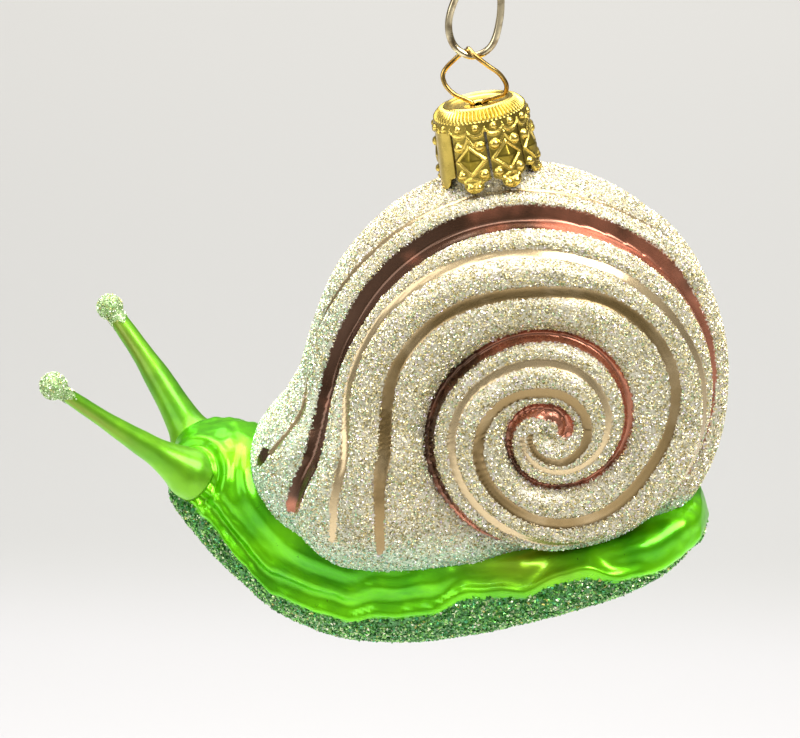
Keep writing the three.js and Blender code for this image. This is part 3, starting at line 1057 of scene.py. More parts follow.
    def build(self, foot: "CreepingFoot") -> bpy.types.Object:
        """Builds the shell as one closed skin.

        Args:
            foot: the body that it sits on, near which the glitter turns mint, partly as a painted green
                reflection of it.

        Returns:
            The shell.
        """
        found = self.relief()
        uneven = self.unevenness * ripple(found["base"], 12.0, SEED)
        points = self.lifted(found["base"], found["lift"] + uneven)
        points[:, -1, 1] = 0.0
        far = points[:, -2::-1] * np.array([1.0, -1.0, 1.0])
        rings = np.concatenate([points, far], 1).transpose(1, 0, 2)
        values = {}
        for name, key in (("seam_edge", "seam"), ("groove_edge", "groove"), ("groove_tone", "tone")):
            value = np.clip(found[key], -4, 6)
            values[name] = np.concatenate([value, value[:, -2::-1]], 1).T
        # mint near the green body and towards the head: partly mint glitter, partly a painted green
        # reflection of the body
        near_foot = 0.8 * fade(-foot.depth(rings), -1.55, -1.04)
        values["low"] = np.maximum(near_foot, 0.5 * fade(-rings[..., 0], 14, 27))
        x, z = rings[..., 0], rings[..., 2]
        # the seam's left part, except low down, is painted darker: a painted dark reflection
        values["seam_tone"] = fade(x, 6, -8) * fade(z, -106, -100)
        middle = self.half_width + 0.1
        poles = np.array([[self.centre[0], side * middle, self.centre[1]] for side in (NEAR, FAR)])
        return closed_ball("shell_glass", rings, poles, values)


# ---------------------------------------------------------------- foot and head


@dataclass
class CreepingFoot:
    """The animal's head, foot and tail in green lacquer, with a glittered band round the sole."""

    along: int = 240
    around: int = 168
    squareness: float = 2.6
    # x, top, bottom and half width at each station from the nose to the tail
    stations: Table = (
        (-49.2, -103.5, -106.5, 2.0), (-47.5, -99.5, -109.2, 6.5), (-44.0, -97.0, -113.8, 9.2),
        (-38.0, -96.5, -120.6, 11.2), (-31.0, -99.0, -126.2, 13.0), (-22.0, -103.5, -129.9, 15.0),
        (-11.0, -107.0, -130.4, 16.4), (2.0, -109.0, -128.0, 17.0), (15.0, -109.0, -124.0, 16.6),
        (25.0, -107.5, -120.8, 15.0), (31.5, -105.5, -117.5, 12.6), (35.6, -105.2, -113.9, 9.6),
        (38.0, -106.4, -112.2, 6.0), (38.8, -108.4, -110.8, 2.0),
    )
    # where the glittered band's upper edge runs: x, z
    band: Table = (
        (-47.0, -104.0), (-40.0, -110.6), (-36.0, -115.4), (-30.0, -121.1), (-22.0, -123.1),
        (-17.0, -123.3), (-8.0, -122.1), (0.0, -118.9), (8.0, -117.8), (13.0, -116.5), (17.0, -115.2),
        (21.0, -114.9), (28.0, -115.4), (32.0, -114.9), (35.5, -113.0), (38.2, -110.2),
    )
    # folds that follow the band: how far above it, lift, width, and whether only the front has them
    folds: Table = (
        (1.25, 0.85, 0.75, 0), (3.3, -0.55, 1.2, 0), (5.4, 0.45, 0.9, 1), (7.2, -0.35, 1.0, 1),
    )
    # the thin olive patch: x, z, length, height and strength
    olive_patch: tuple = (9.0, -113.0, 9.0, 3.0, 0.55)
    # lumps of the soft body along both sides: x, z, height, size
    lumps: Table = (
        (9.0, -113.8, 0.9, 4.2), (18.5, -112.4, 0.6, 3.0), (-4.0, -116.0, 0.5, 4.0),
        (-27.0, -112.5, 0.7, 4.5), (28.5, -111.2, 0.7, 3.6), (-37.5, -105.0, 0.5, 3.6),
    )

    def measures(self, x: np.ndarray) -> tuple[np.ndarray, np.ndarray, np.ndarray]:
        """Returns the section's middle height, half height and half width at x."""
        top = smooth_table(self.stations, x, column=1)
        bottom = smooth_table(self.stations, x, column=2)
        return (top + bottom) / 2, (top - bottom) / 2, smooth_table(self.stations, x, column=3)

    def depth(self, points: np.ndarray) -> np.ndarray:
        """Returns how far out points lie, as a share of the section: 1 is on the skin."""
        middle, half, wide = self.measures(points[..., 0])
        power = self.squareness
        up = np.abs(points[..., 2] - middle) / half
        side = np.abs(points[..., 1]) / wide
        share = (up**power + side**power) ** (1 / power)
        ends = (points[..., 0] < self.stations[0][0]) | (points[..., 0] > self.stations[-1][0])
        return np.where(ends, 9.0, share)

    def mantle(self, points: np.ndarray, shell: SpiralShell) -> np.ndarray:
        """Returns the lift of the soft fold along the shell's lip and of the neck's wrinkles."""
        gap = shell.outside(points)
        front = 1 - fade(points[..., 0], -24, -12)
        fold = 0.35 * hump(gap, 1.5, 0.8) - 0.4 * hump(gap, 3.1, 0.9)
        fold = fold * fade(np.abs(points[..., 1]), 0, 12)
        neck = hump(points[..., 0], -35, 7) * fade(gap, 3, 6)
        fine = 0.20 * ripple(points * np.array([1.0, 1.0, 0.55]), 2.1, SEED + 6)
        return fold * front + neck * fine

    def sculpt(self, points: np.ndarray) -> np.ndarray:
        """How far the body's folds move each point outwards.

        Args:
            points: the plain skin.

        Returns:
            The lift.
        """
        x, z = points[..., 0], points[..., 2]
        edge = self.band_line(x)
        side = fade(np.abs(points[..., 1]), 3.0, 8.0)
        front = 1 - fade(x, -12, -2)
        skirt = 0.0
        for above, height, width, front_only in self.folds:
            skirt = skirt + height * hump(z, edge + above, width) * (front if front_only else 1.0)
        lift = skirt * side * (1 - 0.6 * fade(x, 22, 34))
        for at_x, at_z, height, size in self.lumps:
            lift = lift + side * height * hump(x, at_x, size) * hump(z, at_z, size * 0.8)
        for horn in HORNS:
            gap = np.linalg.norm(points - np.array(horn.base), axis=-1)
            lift = lift - 0.55 * hump(gap, 5.0, 0.55) + 0.35 * hump(gap, 6.3, 0.8)
        lift = lift + 0.16 * ripple(points, 10.0, SEED + 1) + 0.06 * ripple(points, 3.2, SEED + 2)
        return lift + 0.10 * ripple(points, 2.2, SEED + 3) * fade(x, 30, 36)

    def band_line(self, x: np.ndarray) -> np.ndarray:
        """Returns the height of the band's wavy upper edge at x."""
        wave = 0.35 * np.sin(x / 2.3 + 0.6) + 0.22 * np.sin(x / 1.1 + 2.0)
        return smooth_table(self.band, x) + wave * fade(x, -46, -38)

    def build(self, shell: SpiralShell) -> bpy.types.Object:
        """Builds the body as one closed skin.

        Args:
            shell: the shell, whose lip the mantle follows.

        Returns:
            The body.
        """
        first, last = self.stations[0][0], self.stations[-1][0]
        share = (1 - np.cos(np.linspace(0, math.pi, self.along + 2)[1:-1])) / 2
        even = np.linspace(0, 1, self.along + 2)[1:-1]
        x = first + (last - first) * (0.8 * share + 0.2 * even)
        end = np.minimum(x - first, last - x)
        close = np.clip(end / 1.4, 0, 1) ** 0.5
        middle, half, wide = (value[:, None] for value in self.measures(x))
        turn = np.linspace(0, 2 * math.pi, self.around, endpoint=False)[None, :]
        power = 2 / self.squareness
        side = np.sign(np.cos(turn)) * np.abs(np.cos(turn)) ** power
        up = np.sign(np.sin(turn)) * np.abs(np.sin(turn)) ** power
        close = close[:, None]
        y = wide * side * close
        z = middle + half * up * close
        rings = np.stack([x[:, None] + 0 * y, y, z], -1)
        out = np.stack([0 * y, y / wide**2, (z - middle) / half**2], -1)
        lift = self.sculpt(rings) + self.mantle(rings, shell)
        rings = rings + unit(out) * (lift * close)[..., None]
        poles = np.array([[first, 0, middle[0, 0]], [last, 0, middle[-1, 0]]])
        at_x, at_z, long, tall, strong = self.olive_patch
        values = {
            "band_edge": np.clip(self.band_line(rings[..., 0]) - rings[..., 2], -5, 5),
            "thin": strong * hump(rings[..., 0], at_x, long) * hump(rings[..., 2], at_z, tall),
        }
        return closed_ball("foot_glass", rings, poles, values)


# ---------------------------------------------------------------- tentacles


@dataclass(frozen=True)
class Horn:
    """One drawn glass tentacle, fused on the head, with a bead at its tip."""

    name: str
    node: str
    base: tuple[float, float, float]
    tip: tuple[float, float, float]
    bow: float
    stout: float
    bead: float = 2.1
    # share of the length, and radius there, from the root to the bead
    taper: Table = (
        (0.0, 4.2), (0.05, 4.05), (0.12, 3.3), (0.22, 2.45), (0.36, 1.75), (0.58, 1.25),
        (0.85, 0.98), (1.0, 0.95),
    )
    # how far the root is sunk in the head, as a share of the length
    sunk: float = 0.04
    steps: int = 110
    sides: int = 56

    def route(self) -> np.ndarray:
        """Returns the middle line from inside the head to the bead's far end."""
        start, end = np.array(self.base), np.array(self.tip)
        heading = unit(end - start)
        length = np.linalg.norm(end - start)
        half = self.steps // 2
        share = np.concatenate([np.linspace(-self.sunk, 0.80, half), np.linspace(0.81, 1.0, half)])
        place = start + heading * (share * (length + self.bead))[:, None]
        sag = np.cross(heading, [0.0, 1.0, 0.0]) * self.bow
        return place + sag * (np.sin(np.clip(share, 0, 1) * math.pi) ** 1.5)[:, None]

    def build(self) -> bpy.types.Object:
        """Builds the horn.

        Returns:
            The tentacle, with the glittered tip marked in its mesh.
        """
        route = self.route()
        total = np.linalg.norm(np.array(self.tip) - np.array(self.base))
        along = np.linspace(0, 1, len(route))
        way = np.concatenate([[0], np.cumsum(np.linalg.norm(np.diff(route, axis=0), axis=1))])
        reach = way - self.sunk * (total + self.bead)
        stouter = 1 + (self.stout - 1) * fade(reach / total, 0.1, 0.5)
        radius = smooth_table(self.taper, reach / total) * stouter
        inside = np.clip(self.bead**2 - (reach - total) ** 2, 0, None)
        radius = np.where(reach > total - self.bead, np.maximum(np.sqrt(inside), 0.0), radius)
        neck = reach < total
        radius = np.where(neck, np.maximum(radius, 0.95 * self.stout), radius)
        radius[-1] = 0.05
        radius *= 1 + 0.02 * ripple(route, 4.0, SEED + 5)
        rings, poles = swept(route, radius, self.sides)
        turn = np.linspace(0, 2 * math.pi, self.sides, endpoint=False)[None, :]
        gap = reach[:, None] - (total - 3.1) + 0.5 * np.sin(3 * turn)
        streak = hump(np.cos(turn), -0.2, 0.5) * fade(along, 0.15, 0.45)[:, None]
        values = {"band_edge": np.clip(gap, -5, 5), "thin": 0.75 * streak}
        return closed_ball(self.name, rings, poles, values)


HORNS = (
    Horn(
        "tentacle_near_glass", "tentacle_left", (-43.9, -7.2, -102.2), (-64.2, -17.0, -84.2),
        bow=0.25, stout=1.2,
    ),
    Horn(
        "tentacle_far_glass", "tentacle_right", (-45.2, 7.0, -102.0), (-60.6, 17.0, -82.2),
        bow=-0.5, stout=1.55,
    ),
)


# ---------------------------------------------------------------- glitter


class GrainLot(Enum):
    """Each coat's count of grains, their smallest and largest size, and the slot they stand for."""

    SHELL_SIDE = (46000, 0.27, 0.44, "shell_glitter")
    NECK = (2600, 0.27, 0.44, "shell_glitter")
    SOLE = (24000, 0.40, 0.74, "green_glitter")
    TIP = (900, 0.26, 0.44, "tip_glitter")


@dataclass
class GlitterCoat:
    """Loose glitter grains: small flattened crystals that lie every way on the lacquer."""

    dice: np.random.Generator = field(default_factory=lambda: np.random.default_rng(SEED))
    # a crystal's height as a share of its width, how uneven its corners are and how far it leans
    flatness: float = 0.75
    uneven: float = 0.16
    lean: float = 0.25
    lift: float = 0.02
    # the power that makes grains brighter, down and up: painted light and shade, paler tints on grains
    # that face up and darker ones on grains that face down
    painted_light_power: tuple[float, float] = (1.2, 0.75)

    def places(
        self, piece: bpy.types.Object, count: int, wanted: Callable[[np.ndarray, dict], np.ndarray]
    ) -> tuple[np.ndarray, np.ndarray, np.ndarray]:
        """Picks evenly spread places on a piece.

        Args:
            piece: the coated piece.
            count: how many places to keep.
            wanted: gives each candidate's chance from its place and the mesh's numbers there.

        Returns:
            The places, the skin's normals there and the share of mint grains there.
        """
        points, corners = triangles_of(piece)
        points = points / MM
        a, b, c = points[corners].transpose(1, 0, 2)
        normal = np.cross(b - a, c - a)
        area = np.linalg.norm(normal, axis=1)
        held = {}
        for layer in piece.data.attributes:
            if layer.data_type == "FLOAT" and layer.domain == "POINT":
                value = np.empty(len(points), np.float32)
                layer.data.foreach_get("value", value)
                held[layer.name] = value[corners].mean(1)
        chance = area * np.clip(wanted((a + b + c) / 3, held), 0, 1)
        pick = self.dice.choice(len(corners), count, p=chance / chance.sum())
        share = np.sqrt(self.dice.random((count, 1)))
        other = self.dice.random((count, 1))
        place = a[pick] * (1 - share) + b[pick] * share * (1 - other) + c[pick] * share * other
        mint = held["low"][pick] if "low" in held else np.zeros(count)
        return place, normal[pick] / np.maximum(area[pick], 1e-9)[:, None], mint

    def grains(
        self,
        name: str,
        spots: tuple[np.ndarray, np.ndarray, np.ndarray],
        size: tuple[float, float],
    ) -> bpy.types.Object:
        """Builds one crystal at each place.

        Args:
            name: the piece's name.
            spots: where they lie, the skin's normals there and the share of mint grains.
            size: the smallest and largest crystal.

        Returns:
            The grains, as one piece.
        """
        place, normal, mint = spots
        count = len(place)
        corner = np.array([[1.0, 0.0, 0.0], [-0.5, 0.87, 0.0], [-0.5, -0.87, 0.0], [0.0, 0.0, 1.0]])
        corner[3, 2] = self.flatness
        shape = corner[None] + self.dice.normal(scale=self.uneven, size=(count, 4, 3))
        up = unit(normal + self.dice.normal(scale=self.lean, size=(count, 3)))
        side = unit(np.cross(up, self.dice.normal(size=(count, 3))))
        third = np.cross(up, side)
        radius_of_width = 0.56
        scale = self.dice.uniform(size[0], size[1], (count, 1)) * radius_of_width
        axes = np.stack([side, third, up], 1)
        points = np.einsum("nij,njk->nik", shape * scale[..., None], axes)
        points = points + (place + normal * self.lift)[:, None]
        faces = np.array([[0, 2, 1], [0, 1, 3], [1, 2, 3], [2, 0, 3]])
        numbers = (np.arange(count)[:, None, None] * 4 + faces).reshape(-1, 3)
        # grains that face up take paler tints and grains that face down take darker ones: painted top
        # light and painted shade
        tint = self.dice.random(count) ** (self.painted_light_power[0] - self.painted_light_power[1] * normal[:, 2])
        tint = np.repeat(np.where(self.dice.random(count) < mint, -tint, tint) * 0.5 + 0.5, 4)
        return make_piece(name, points.reshape(-1, 3), numbers, {"tint": tint}, smooth=False)


# ---------------------------------------------------------------- cap and wires


@dataclass
class CrownCap:
    """The gold sheet crown: a dished top, a fluted shoulder and eight stamped petals."""

    top: tuple[float, float, float] = (0.9, 0.0, -41.7)
    tilt: float = -10.0
    petals: int = 8
    first_petal: float = 29.7
    plain_petal: int = 4
    ribs: int = 68
    sheet: float = 0.32
    slit: float = 0.45
    collar_end: float = -3.2
    longest: float = -12.6
    # height and radius of the wall
    wall: Table = ((-14.0, 8.2), (-12.0, 8.0), (-8.0, 7.65), (-4.4, 7.45), (-2.6, 7.4), (-1.7, 7.32))
    # radius, height and whether the row is fluted, from the hole to the wall
    dish: Table = (
        (1.42, -0.38, 0), (2.6, -0.33, 0), (4.1, -0.31, 0), (4.6, -0.25, 0), (4.78, -0.05, 0),
        (4.92, 0.16, 0), (5.12, 0.28, 0), (5.36, 0.20, 0), (5.50, 0.02, 0), (5.62, -0.02, 0.3),
        (5.85, -0.10, 1), (6.15, -0.28, 1), (6.5, -0.55, 1), (6.82, -0.86, 1), (7.08, -1.20, 1),
        (7.22, -1.45, 0.7), (7.30, -1.62, 0),
    )
    inside: Table = (
        (7.12, -3.2, 0), (7.06, -2.0, 0), (6.8, -1.45, 0), (5.9, -0.55, 0), (5.3, -0.30, 0),
        (4.95, -0.55, 0), (4.5, -0.88, 0), (1.42, -0.82, 0),
    )
    # distance from the petal's middle, height and size of the stamped beads
    beads: Table = (
        (1.45, -2.45, 0.55), (1.75, -5.3, 0.78), (1.85, -9.7, 0.70), (0.64, -11.7, 0.66),
    )
    # the diamond's height on the cap, half width and half height
    diamond: tuple[float, float, float] = (-7.45, 2.35, 2.2)
    # how far the rope and its legs, the diamond's frame and the pyramid stand out
    rope_height: float = 0.34
    frame_height: float = 0.38
    boss_height: float = 0.8
    # what the finish reads on the pyramid's sides, below the plain sheet, as a painted dark reflection,
    # and on the plain petal, as its share of painted shade
    boss_painted_reflection: float = 0.4
    plain_brightness: float = 0.17

    def seat(self, points: np.ndarray) -> np.ndarray:
        """Returns points of the cap's own axis in the frame."""
        lean = math.radians(self.tilt)
        x, y, z = np.moveaxis(points, -1, 0)
        turned_x = x * math.cos(lean) + z * math.sin(lean)
        turned_z = -x * math.sin(lean) + z * math.cos(lean)
        return np.stack([turned_x, y, turned_z], -1) + np.array(self.top)

    def stamp(self, across: np.ndarray, z: np.ndarray) -> np.ndarray:
        """The pattern pressed in a petal: swags, beads, a small point and a framed diamond.

        Args:
            across: distance from the petal's middle.
            z: height on the cap.

        Returns:
            How far the sheet stands out.
        """
        side = np.abs(across)
        height = np.zeros(np.broadcast(side, z).shape)
        for at, level, size in self.beads:
            gap = ((side - at) ** 2 + (z - level) ** 2) / size**2
            height = np.maximum(height, 0.85 * size * np.sqrt(np.clip(1 - gap, 0, 1)))
        bend = np.sqrt(np.clip(1 - ((side - 1.45) / 1.45) ** 2, 0, 1))
        rope = z + 2.25 + 1.45 * bend
        height = np.maximum(height, self.rope_height * hump(rope, 0, 0.17))
        legs = hump((z + 3.75 + 1.9 * side) / 2.0, 0, 0.15) * fade(z, -5.5, -5.2)
        height = np.maximum(height, self.rope_height * legs)
        level, wide, tall = self.diamond
        reach = side / wide + np.abs(z - level) / tall
        height = np.maximum(height, self.frame_height * hump(reach, 1.0, 0.10))
        tip = side / 1.5 + np.abs(z + 10.75) / 0.6
        return np.maximum(height, 0.30 * hump(tip, 1.0, 0.22))

    def boss(self, across: np.ndarray, z: np.ndarray) -> np.ndarray:
        """Returns how far inside the diamond's frame, on its pyramid, a point lies."""
        level, wide, tall = self.diamond
        return np.clip(0.84 - np.abs(across) / wide - np.abs(z - level) / tall, 0, 1)

    def collar(self) -> tuple[np.ndarray, np.ndarray, np.ndarray]:
        """The one-piece top: dish, rolled rim, fluted shoulder and the wall above the slits.

        Returns:
            Points, quads and how raised each point is.
        """
        steps = 20
        level = np.linspace(-1.75, self.collar_end, steps)
        wall = [(float(r), float(z), -1) for r, z in zip(smooth_table(self.wall, level), level)]
        rows = [*self.dish, *wall, *self.inside]
        kind = np.array([row[2] for row in rows])[:, None]
        segments = self.ribs * 8

        def press(angle: np.ndarray, radius: np.ndarray, height: np.ndarray) -> tuple:
            """Returns the profile with its ribs and stamped pattern."""
            out = self.pressed(angle, radius, height, kind)
            outwards, upwards = np.where(kind > 0, 0.6, 1.0), np.where(kind > 0, 0.8, 0.0)
            return radius + out * outwards, height + out * upwards

        pairs = [(row[0], row[1]) for row in rows]
        points, faces = turned(pairs, segments, press)
        angle = np.linspace(0, 2 * math.pi, segments, endpoint=False)[None, :]
        flat = np.array(pairs)
        out = self.pressed(angle, flat[:, :1] + 0 * angle, flat[:, 1:] + 0 * angle, kind)
        # how raised each point reads, which the gold turns into painted highlight and painted shade: the
        # plain rows read as raised, the flutes follow their ribs
        raised = np.where(kind == 0, 0.42, out + np.where(kind > 0, 0.12, 0.0))
        return points, faces, raised.ravel()

    def pressed(
        self, angle: np.ndarray, radius: np.ndarray, z: np.ndarray, kind: np.ndarray
    ) -> np.ndarray:
        """Returns how far ribs (kind above 0) or stamping (kind below 0) stand out at angle."""
        pitch = 2 * math.pi / self.petals
        turn = np.mod(angle - math.radians(self.first_petal) + pitch / 2, pitch) - pitch / 2
        ribs = 0.20 * np.cos(self.ribs * angle) * np.maximum(kind, 0)
        return np.where(kind < 0, self.stamp(turn * radius, z), ribs)

    def petal(self, index: int, shell: SpiralShell, first: int) -> tuple[np.ndarray, ...]:
        """One petal, cut to end on the shell.

        Args:
            index: which petal.
            shell: the shell that the petals rest on.
            first: the number of its first point.

        Returns:
            Points, quads and how raised each point is.
        """
        rows, columns = 56, 37
        angle = math.radians(self.first_petal) + 2 * math.pi / self.petals * index
        probe = np.linspace(self.collar_end, self.longest, 200)
        radius = smooth_table(self.wall, probe)
        line = self.seat(np.stack([radius * math.cos(angle), radius * math.sin(angle), probe], -1))
        inside = np.flatnonzero(shell.holds(line, 0.75))
        end = probe[inside[0]] if len(inside) else self.longest
        z = np.linspace(self.collar_end + 0.25, end, rows)
        wide = smooth_table(self.wall, z) * math.pi / self.petals - self.slit / 2
        above = z - end
        tongue = 1.65 * np.sqrt(np.clip(1 - (1 - np.clip(above / 1.3, 0, 1)) ** 2, 0.01, 1))
        wide = np.minimum(wide, tongue + np.maximum(above - 1.6, 0) * 3.0)
        across = np.linspace(-1, 1, columns)[None, :] * wide[:, None]
        height = z[:, None] + 0 * across
        mark = np.where(height < -11.0, height - (end - self.longest), height)
        plain = index == self.plain_petal
        boss = self.boss(across, mark)
        if plain:
            raised = np.full(across.shape, self.plain_brightness)
            out = 0.12 * hump(across, 0, 2.0)
        else:
            raised = self.stamp(across, mark)
            out = np.maximum(raised, self.boss_height * boss)
            # the pyramid's sides are painted dark: a painted dark reflection
            raised = raised - self.boss_painted_reflection * fade(boss, 0.0, 0.08)
        base = smooth_table(self.wall, z)[:, None] - 0.06 * (across / 2.5) ** 2
        bent = angle + across / np.maximum(base, 1)
        sheets = []
        for gap in (0.0, self.sheet):
            reach = base + out * (1 if gap == 0 else 0.6) - gap
            sheets.append(self.seat(np.stack([reach * np.cos(bent), reach * np.sin(bent), height], -1)))
        points, faces = closed_sheet(sheets[0], sheets[1], first)
        return points, faces, np.concatenate([raised.ravel(), raised.ravel()])

    def build(self, shell: SpiralShell) -> bpy.types.Object:
        """Builds the cap.

        Args:
            shell: the shell that the petals rest on.

        Returns:
            The cap.
        """
        points, faces, raised = self.collar()
        parts = [(self.seat(points), faces, raised)]
        for index in range(self.petals):
            first = sum(len(part[0]) for part in parts)
            parts.append(self.petal(index, shell, first))
        points, faces, raised = (np.concatenate(group) for group in zip(*parts))
        return make_piece("crown_cap_gold", points, faces, {"raised": raised})

    def neck(self) -> bpy.types.Object:
        """Builds the glass neck that the cap grips."""
        profile = [(6.55, -1.1), (6.62, -2.0), (6.6, -8.0), (6.9, -14.0), (5.4, -14.0), (5.3, -1.1)]
        points, faces = turned(profile, 96)
        count = len(points)
        values = {"seam_edge": np.full(count, 5.0), "groove_edge": np.full(count, 5.0)}
        return outward(make_piece("neck_glass", self.seat(points), faces, values))


@dataclass
class HangingWires:
    """The springy loop in the cap and the hook that it hangs on."""

    loop_diameter: float = 0.75
    hook_diameter: float = 1.15
    # the loop on the cap's own axis: up from inside the cap, over the hook and down again
    loop: Table = (
        (-4.0, 0.0, -8.5), (-2.0, 0.0, -4.0), (-0.85, 0.0, -0.3), (-1.7, 0.0, 0.5), (-3.4, 0.1, 1.6),
        (-4.6, 0.3, 3.4), (-4.6, 0.6, 5.1), (-2.1, 1.3, 7.1), (-0.5, 1.25, 7.95), (0.0, 0.0, 8.4),
        (0.8, -1.25, 7.6), (2.6, -1.2, 5.6), (4.2, -0.8, 3.8), (4.85, -0.4, 1.7), (4.2, -0.1, 0.55),
        (2.5, 0.0, 0.15), (0.9, 0.0, -0.3), (2.0, 0.0, -4.0), (4.0, 0.0, -8.5),
    )
    hook: Table = (
        (2.9, 0.0, -20.0), (0.9, 0.0, -21.0), (-1.9, 0.0, -24.0), (-3.7, 0.0, -29.6), (-2.7, 0.0, -33.1),
        (0.0, 0.0, -34.55), (2.8, 0.0, -33.1), (4.2, 0.0, -28.6), (4.3, 0.0, -21.0), (4.9, 0.0, -12.5),
        (5.7, 0.0, -5.4), (4.1, 0.0, -1.1), (0.0, 0.0, 0.575), (-4.1, 0.0, -1.1), (-5.8, 0.0, -5.0),
        (-6.0, 0.0, -8.2), (-7.3, 0.0, -10.2),
    )

    def build(self, cap: CrownCap) -> list[bpy.types.Object]:
        """Builds the loop, seated in the cap, and the hook.

        Args:
            cap: the cap that holds the loop.

        Returns:
            The loop and the hook.
        """
        path = [tuple(row) for row in cap.seat(np.array(self.loop))]
        loop = tube("wire_loop_bronze", path, self.loop_diameter)
        return [loop, tube("hanger_hook_steel", self.hook, self.hook_diameter)]


# ---------------------------------------------------------------- studio


@dataclass
class Studio:
    """A pale sweep, soft lights and the camera."""

    target: tuple[float, float, float] = (-11.2, 0.0, -86.0)
    azimuth: float = 4.0
    elevation: float = 19.0
    distance: float = 520.0
    lens: float = 146.25
    floor: float = -300.0
    floor_size: float = 6000.0
    # painted light and shade on the floor: its tone far off, nearer, close by, and under the ornament,
    # out of the picture
    floor_painted_light: tuple = ((0.75, 0.74, 0.715), (0.51, 0.506, 0.492), (0.568, 0.56, 0.56), (0.93, 0.93, 0.92))
    # the room's tone below and above
    room: tuple = ((0.10, 0.10, 0.09), (0.58, 0.57, 0.55))
    # name, place, aim, size in metres and watts of each soft light
    lights: tuple = (
        ("key_softbox", (230, -200, 300), (0, 0, -90), 0.34, 2.9),
        ("overhead_softbox", (-80, 60, 300), (0, 0, -90), 0.46, 2.6),
        ("left_softbox", (-420, -260, 120), (0, 0, -90), 0.40, 1.0),
        ("background_light", (0, 900, 900), (0, 1250, -300), 1.6, 11.5),
    )

    def camera(self) -> None:
        """Places the camera."""
        turn, rise = math.radians(self.azimuth), math.radians(self.elevation)
        heading = Vector(
            (-math.sin(turn) * math.cos(rise), math.cos(turn) * math.cos(rise), -math.sin(rise))
        )
        data = bpy.data.cameras.new("camera")
        data.lens, data.sensor_width = self.lens, 36.0
        data.clip_start, data.clip_end = 0.01, 20.0
        camera = bpy.data.objects.new("camera", data)
        camera.location = (Vector(self.target) - heading * self.distance) * MM
        camera.rotation_mode = "QUATERNION"
        camera.rotation_quaternion = heading.to_track_quat("-Z", "Y")
        bpy.context.scene.collection.objects.link(camera)
        bpy.context.scene.camera = camera

    def sweep(self) -> None:
        """Lays the pale floor, its tone graded with distance as painted light and shade."""
        size = self.floor_size
        corners = [(-size, -size), (size, -size), (size, size), (-size, size)]
        points = np.array([(x, y, self.floor) for x, y in corners])
        floor = make_piece("studio_floor", points, np.array([[0, 1, 2, 3]]), smooth=False)
        material, graph, shader = new_material("pale_paper", {"Roughness": 0.9})
        place = graph.add("SeparateXYZ", {"Vector": graph.add("TexCoord").outputs["Object"]})
        away = {"Value": place.outputs["Y"], "From Min": 0.46, "From Max": 1.22}
        far = graph.add("MapRange", away).outputs["Result"]
        # the floor's painted light and shade, graded from near to far and brighter under the ornament
        distant, middle, close, under = self.floor_painted_light
        shade = graph.mix(far, middle, distant)
        shade = graph.mix(graph.step(place.outputs["Y"], 0.45, 0.36), shade, close)
        shade = graph.mix(graph.step(place.outputs["Y"], 0.30, 0.20), shade, under)
        graph.put(shader.inputs["Base Color"], shade)
        floor.data.materials.append(material)
        floor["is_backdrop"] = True

    def build(self) -> None:
        """Builds the whole studio."""
        self.camera()
        self.sweep()
        for name, place, aim, size, power in self.lights:
            light = bpy.data.lights.new(name, "AREA")
            light.shape, light.size, light.energy = "DISK", size, power
            lamp = bpy.data.objects.new(name, light)
            lamp.location = Vector(place) * MM
            lamp.rotation_mode = "QUATERNION"
            lamp.rotation_quaternion = (Vector(aim) - Vector(place)).to_track_quat("-Z", "Y")
            bpy.context.scene.collection.objects.link(lamp)
        world = bpy.data.worlds.new("pale_room")
        world.use_nodes = True
        graph = Graph(world.node_tree)
        way = graph.add("SeparateXYZ", {"Vector": graph.add("TexCoord").outputs["Generated"]})
        high = graph.step(way.outputs["Z"], -0.2, 0.9)
        shade = graph.mix(high, *self.room)
        graph.put(world.node_tree.nodes["Background"].inputs["Color"], shade)
        bpy.context.scene.world = world
        bpy.context.scene.view_settings.view_transform = "Standard"


# ---------------------------------------------------------------- the whole ornament


def dress(
    piece: bpy.types.Object, material: bpy.types.Material, slot: str, nodes: Sequence[str] = ()
) -> None:
    """Gives a piece its finish and ties it to the frame.

    Args:
        piece: the piece.
        material: its finish.
        slot: the material slot that the finish stands for.
        nodes: the frame's parts that it stands for.
    """
    piece.data.materials.append(material)
    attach(piece, BODY)
    if nodes:
        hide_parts(*nodes)
    log.info("%s: %d faces, %s", piece.name, len(piece.data.polygons), slot)


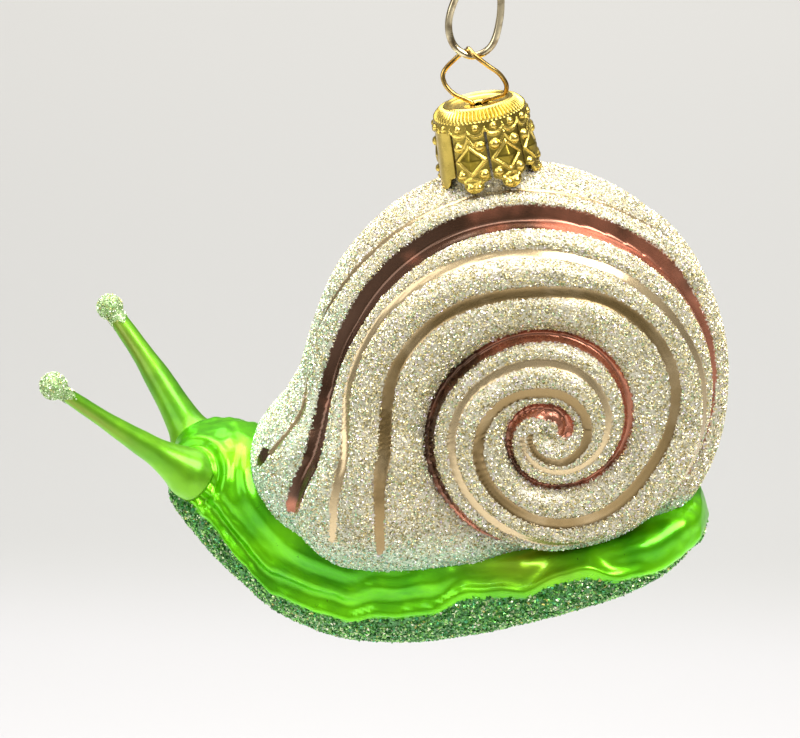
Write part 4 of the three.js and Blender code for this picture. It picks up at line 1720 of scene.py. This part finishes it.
def glitter_ornament(
    shell_piece: bpy.types.Object,
    neck_piece: bpy.types.Object,
    foot_piece: bpy.types.Object,
    horns: list[bpy.types.Object],
    shell: SpiralShell,
    foot: CreepingFoot,
) -> None:
    """Scatters the loose grains over the shell, the sole and the tentacle tips.

    Args:
        shell_piece: the built shell.
        neck_piece: the built neck.
        foot_piece: the built body.
        horns: the built tentacles.
        shell: the shell's sizes.
        foot: the body's sizes.
    """
    coat = GlitterCoat()

    def on_shell(side: float) -> Callable[[np.ndarray, dict], np.ndarray]:
        """Returns the chance of a grain on one side of the shell."""
        return lambda place, held: (
            (place[:, 1] * side > 0)
            * fade(held["seam_edge"], -0.05, 0.15)
            * fade(held["groove_edge"], -0.05, 0.15)
            * (foot.depth(place) > 0.97)
        )

    def on_band(place: np.ndarray, held: dict) -> np.ndarray:
        """Returns the chance of a grain on the sole and its band."""
        return fade(held["band_edge"], -0.35, 0.35) * ~shell.holds(place, 0.2)

    def everywhere(place: np.ndarray, held: dict) -> np.ndarray:
        """Returns the same chance of a grain all over."""
        return np.ones(len(place))

    def on_tip(place: np.ndarray, held: dict) -> np.ndarray:
        """Returns the chance of a grain on a tentacle's bead."""
        return fade(held["band_edge"], -0.8, 0.5)

    def scatter(
        name: str, piece: bpy.types.Object, lot: GrainLot, wanted: Callable, finish: bpy.types.Material
    ) -> None:
        """Covers a piece with one lot of grains."""
        count, smallest, largest, slot = lot.value
        spots = coat.places(piece, count, wanted)
        dress(coat.grains(name, spots, (smallest, largest)), finish, slot)

    silver = GlitterFlake(GlitterMix.SHELL).material("silver_grains")
    green = GlitterFlake(GlitterMix.SOLE).material("green_grains")
    pale = GlitterFlake(GlitterMix.TIP).material("pale_green_grains")
    for name, side in (("near", NEAR), ("far", FAR)):
        scatter(f"shell_grains_{name}", shell_piece, GrainLot.SHELL_SIDE, on_shell(side), silver)
    scatter("neck_grains", neck_piece, GrainLot.NECK, everywhere, silver)
    scatter("sole_grains", foot_piece, GrainLot.SOLE, on_band, green)
    for horn, piece in zip(HORNS, horns):
        scatter(horn.name.replace("glass", "grains"), piece, GrainLot.TIP, on_tip, pale)


def main() -> None:
    """Builds the ornament and its studio."""
    Studio().build()
    effects = Effects()
    shell, foot, cap = SpiralShell(), CreepingFoot(), CrownCap()

    shell_piece = shell.build(foot)
    foot_piece = foot.build(shell)
    coat = ShellCoat().material(effects)
    dress(shell_piece, coat, "shell_glitter", ["glass_body"])
    neck_piece = cap.neck()
    dress(neck_piece, coat, "shell_glitter")
    dress(foot_piece, LimeLacquer().material(effects, "lime_lacquer_body"), "green_lacquer")
    drawn = LimeLacquer(
        lime=(0.17, 0.45, 0.012), deep=(0.07, 0.28, 0.008), olive=(0.20, 0.22, 0.03),
        sole=(0.20, 0.33, 0.11), sole_light=(0.42, 0.56, 0.28), roughness=0.4,
    )
    horn_finish = drawn.material(effects, "lime_lacquer_horns")
    horns = [horn.build() for horn in HORNS]
    for horn, piece in zip(HORNS, horns):
        dress(piece, horn_finish, "green_lacquer", [horn.node])

    gold = Metal.GOLD.value.material(effects, "stamped_gold")
    bronze = Metal.BRONZE.value.material(effects, "bronze_wire")
    steel = Metal.STEEL.value.material(effects, "steel_wire")
    dress(cap.build(shell), gold, "gold_cap", ["crown_cap"])
    loop, hook = HangingWires().build(cap)
    dress(loop, bronze, "loop_wire", ["wire_loop"])
    dress(hook, steel, "hook_wire", ["hanger_hook"])

    glitter_ornament(shell_piece, neck_piece, foot_piece, horns, shell, foot)
    boxes = {"cad": CAD_BOX, "visual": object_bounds()}
    sizes = {key: [[float(value) for value in corner] for corner in box] for key, box in boxes.items()}
    for key, (low, high) in sizes.items():
        log.info("%s box in mm: %s", key, [round(1000 * (b - a), 1) for a, b in zip(low, high)])


if __name__ == "__main__":
    main()
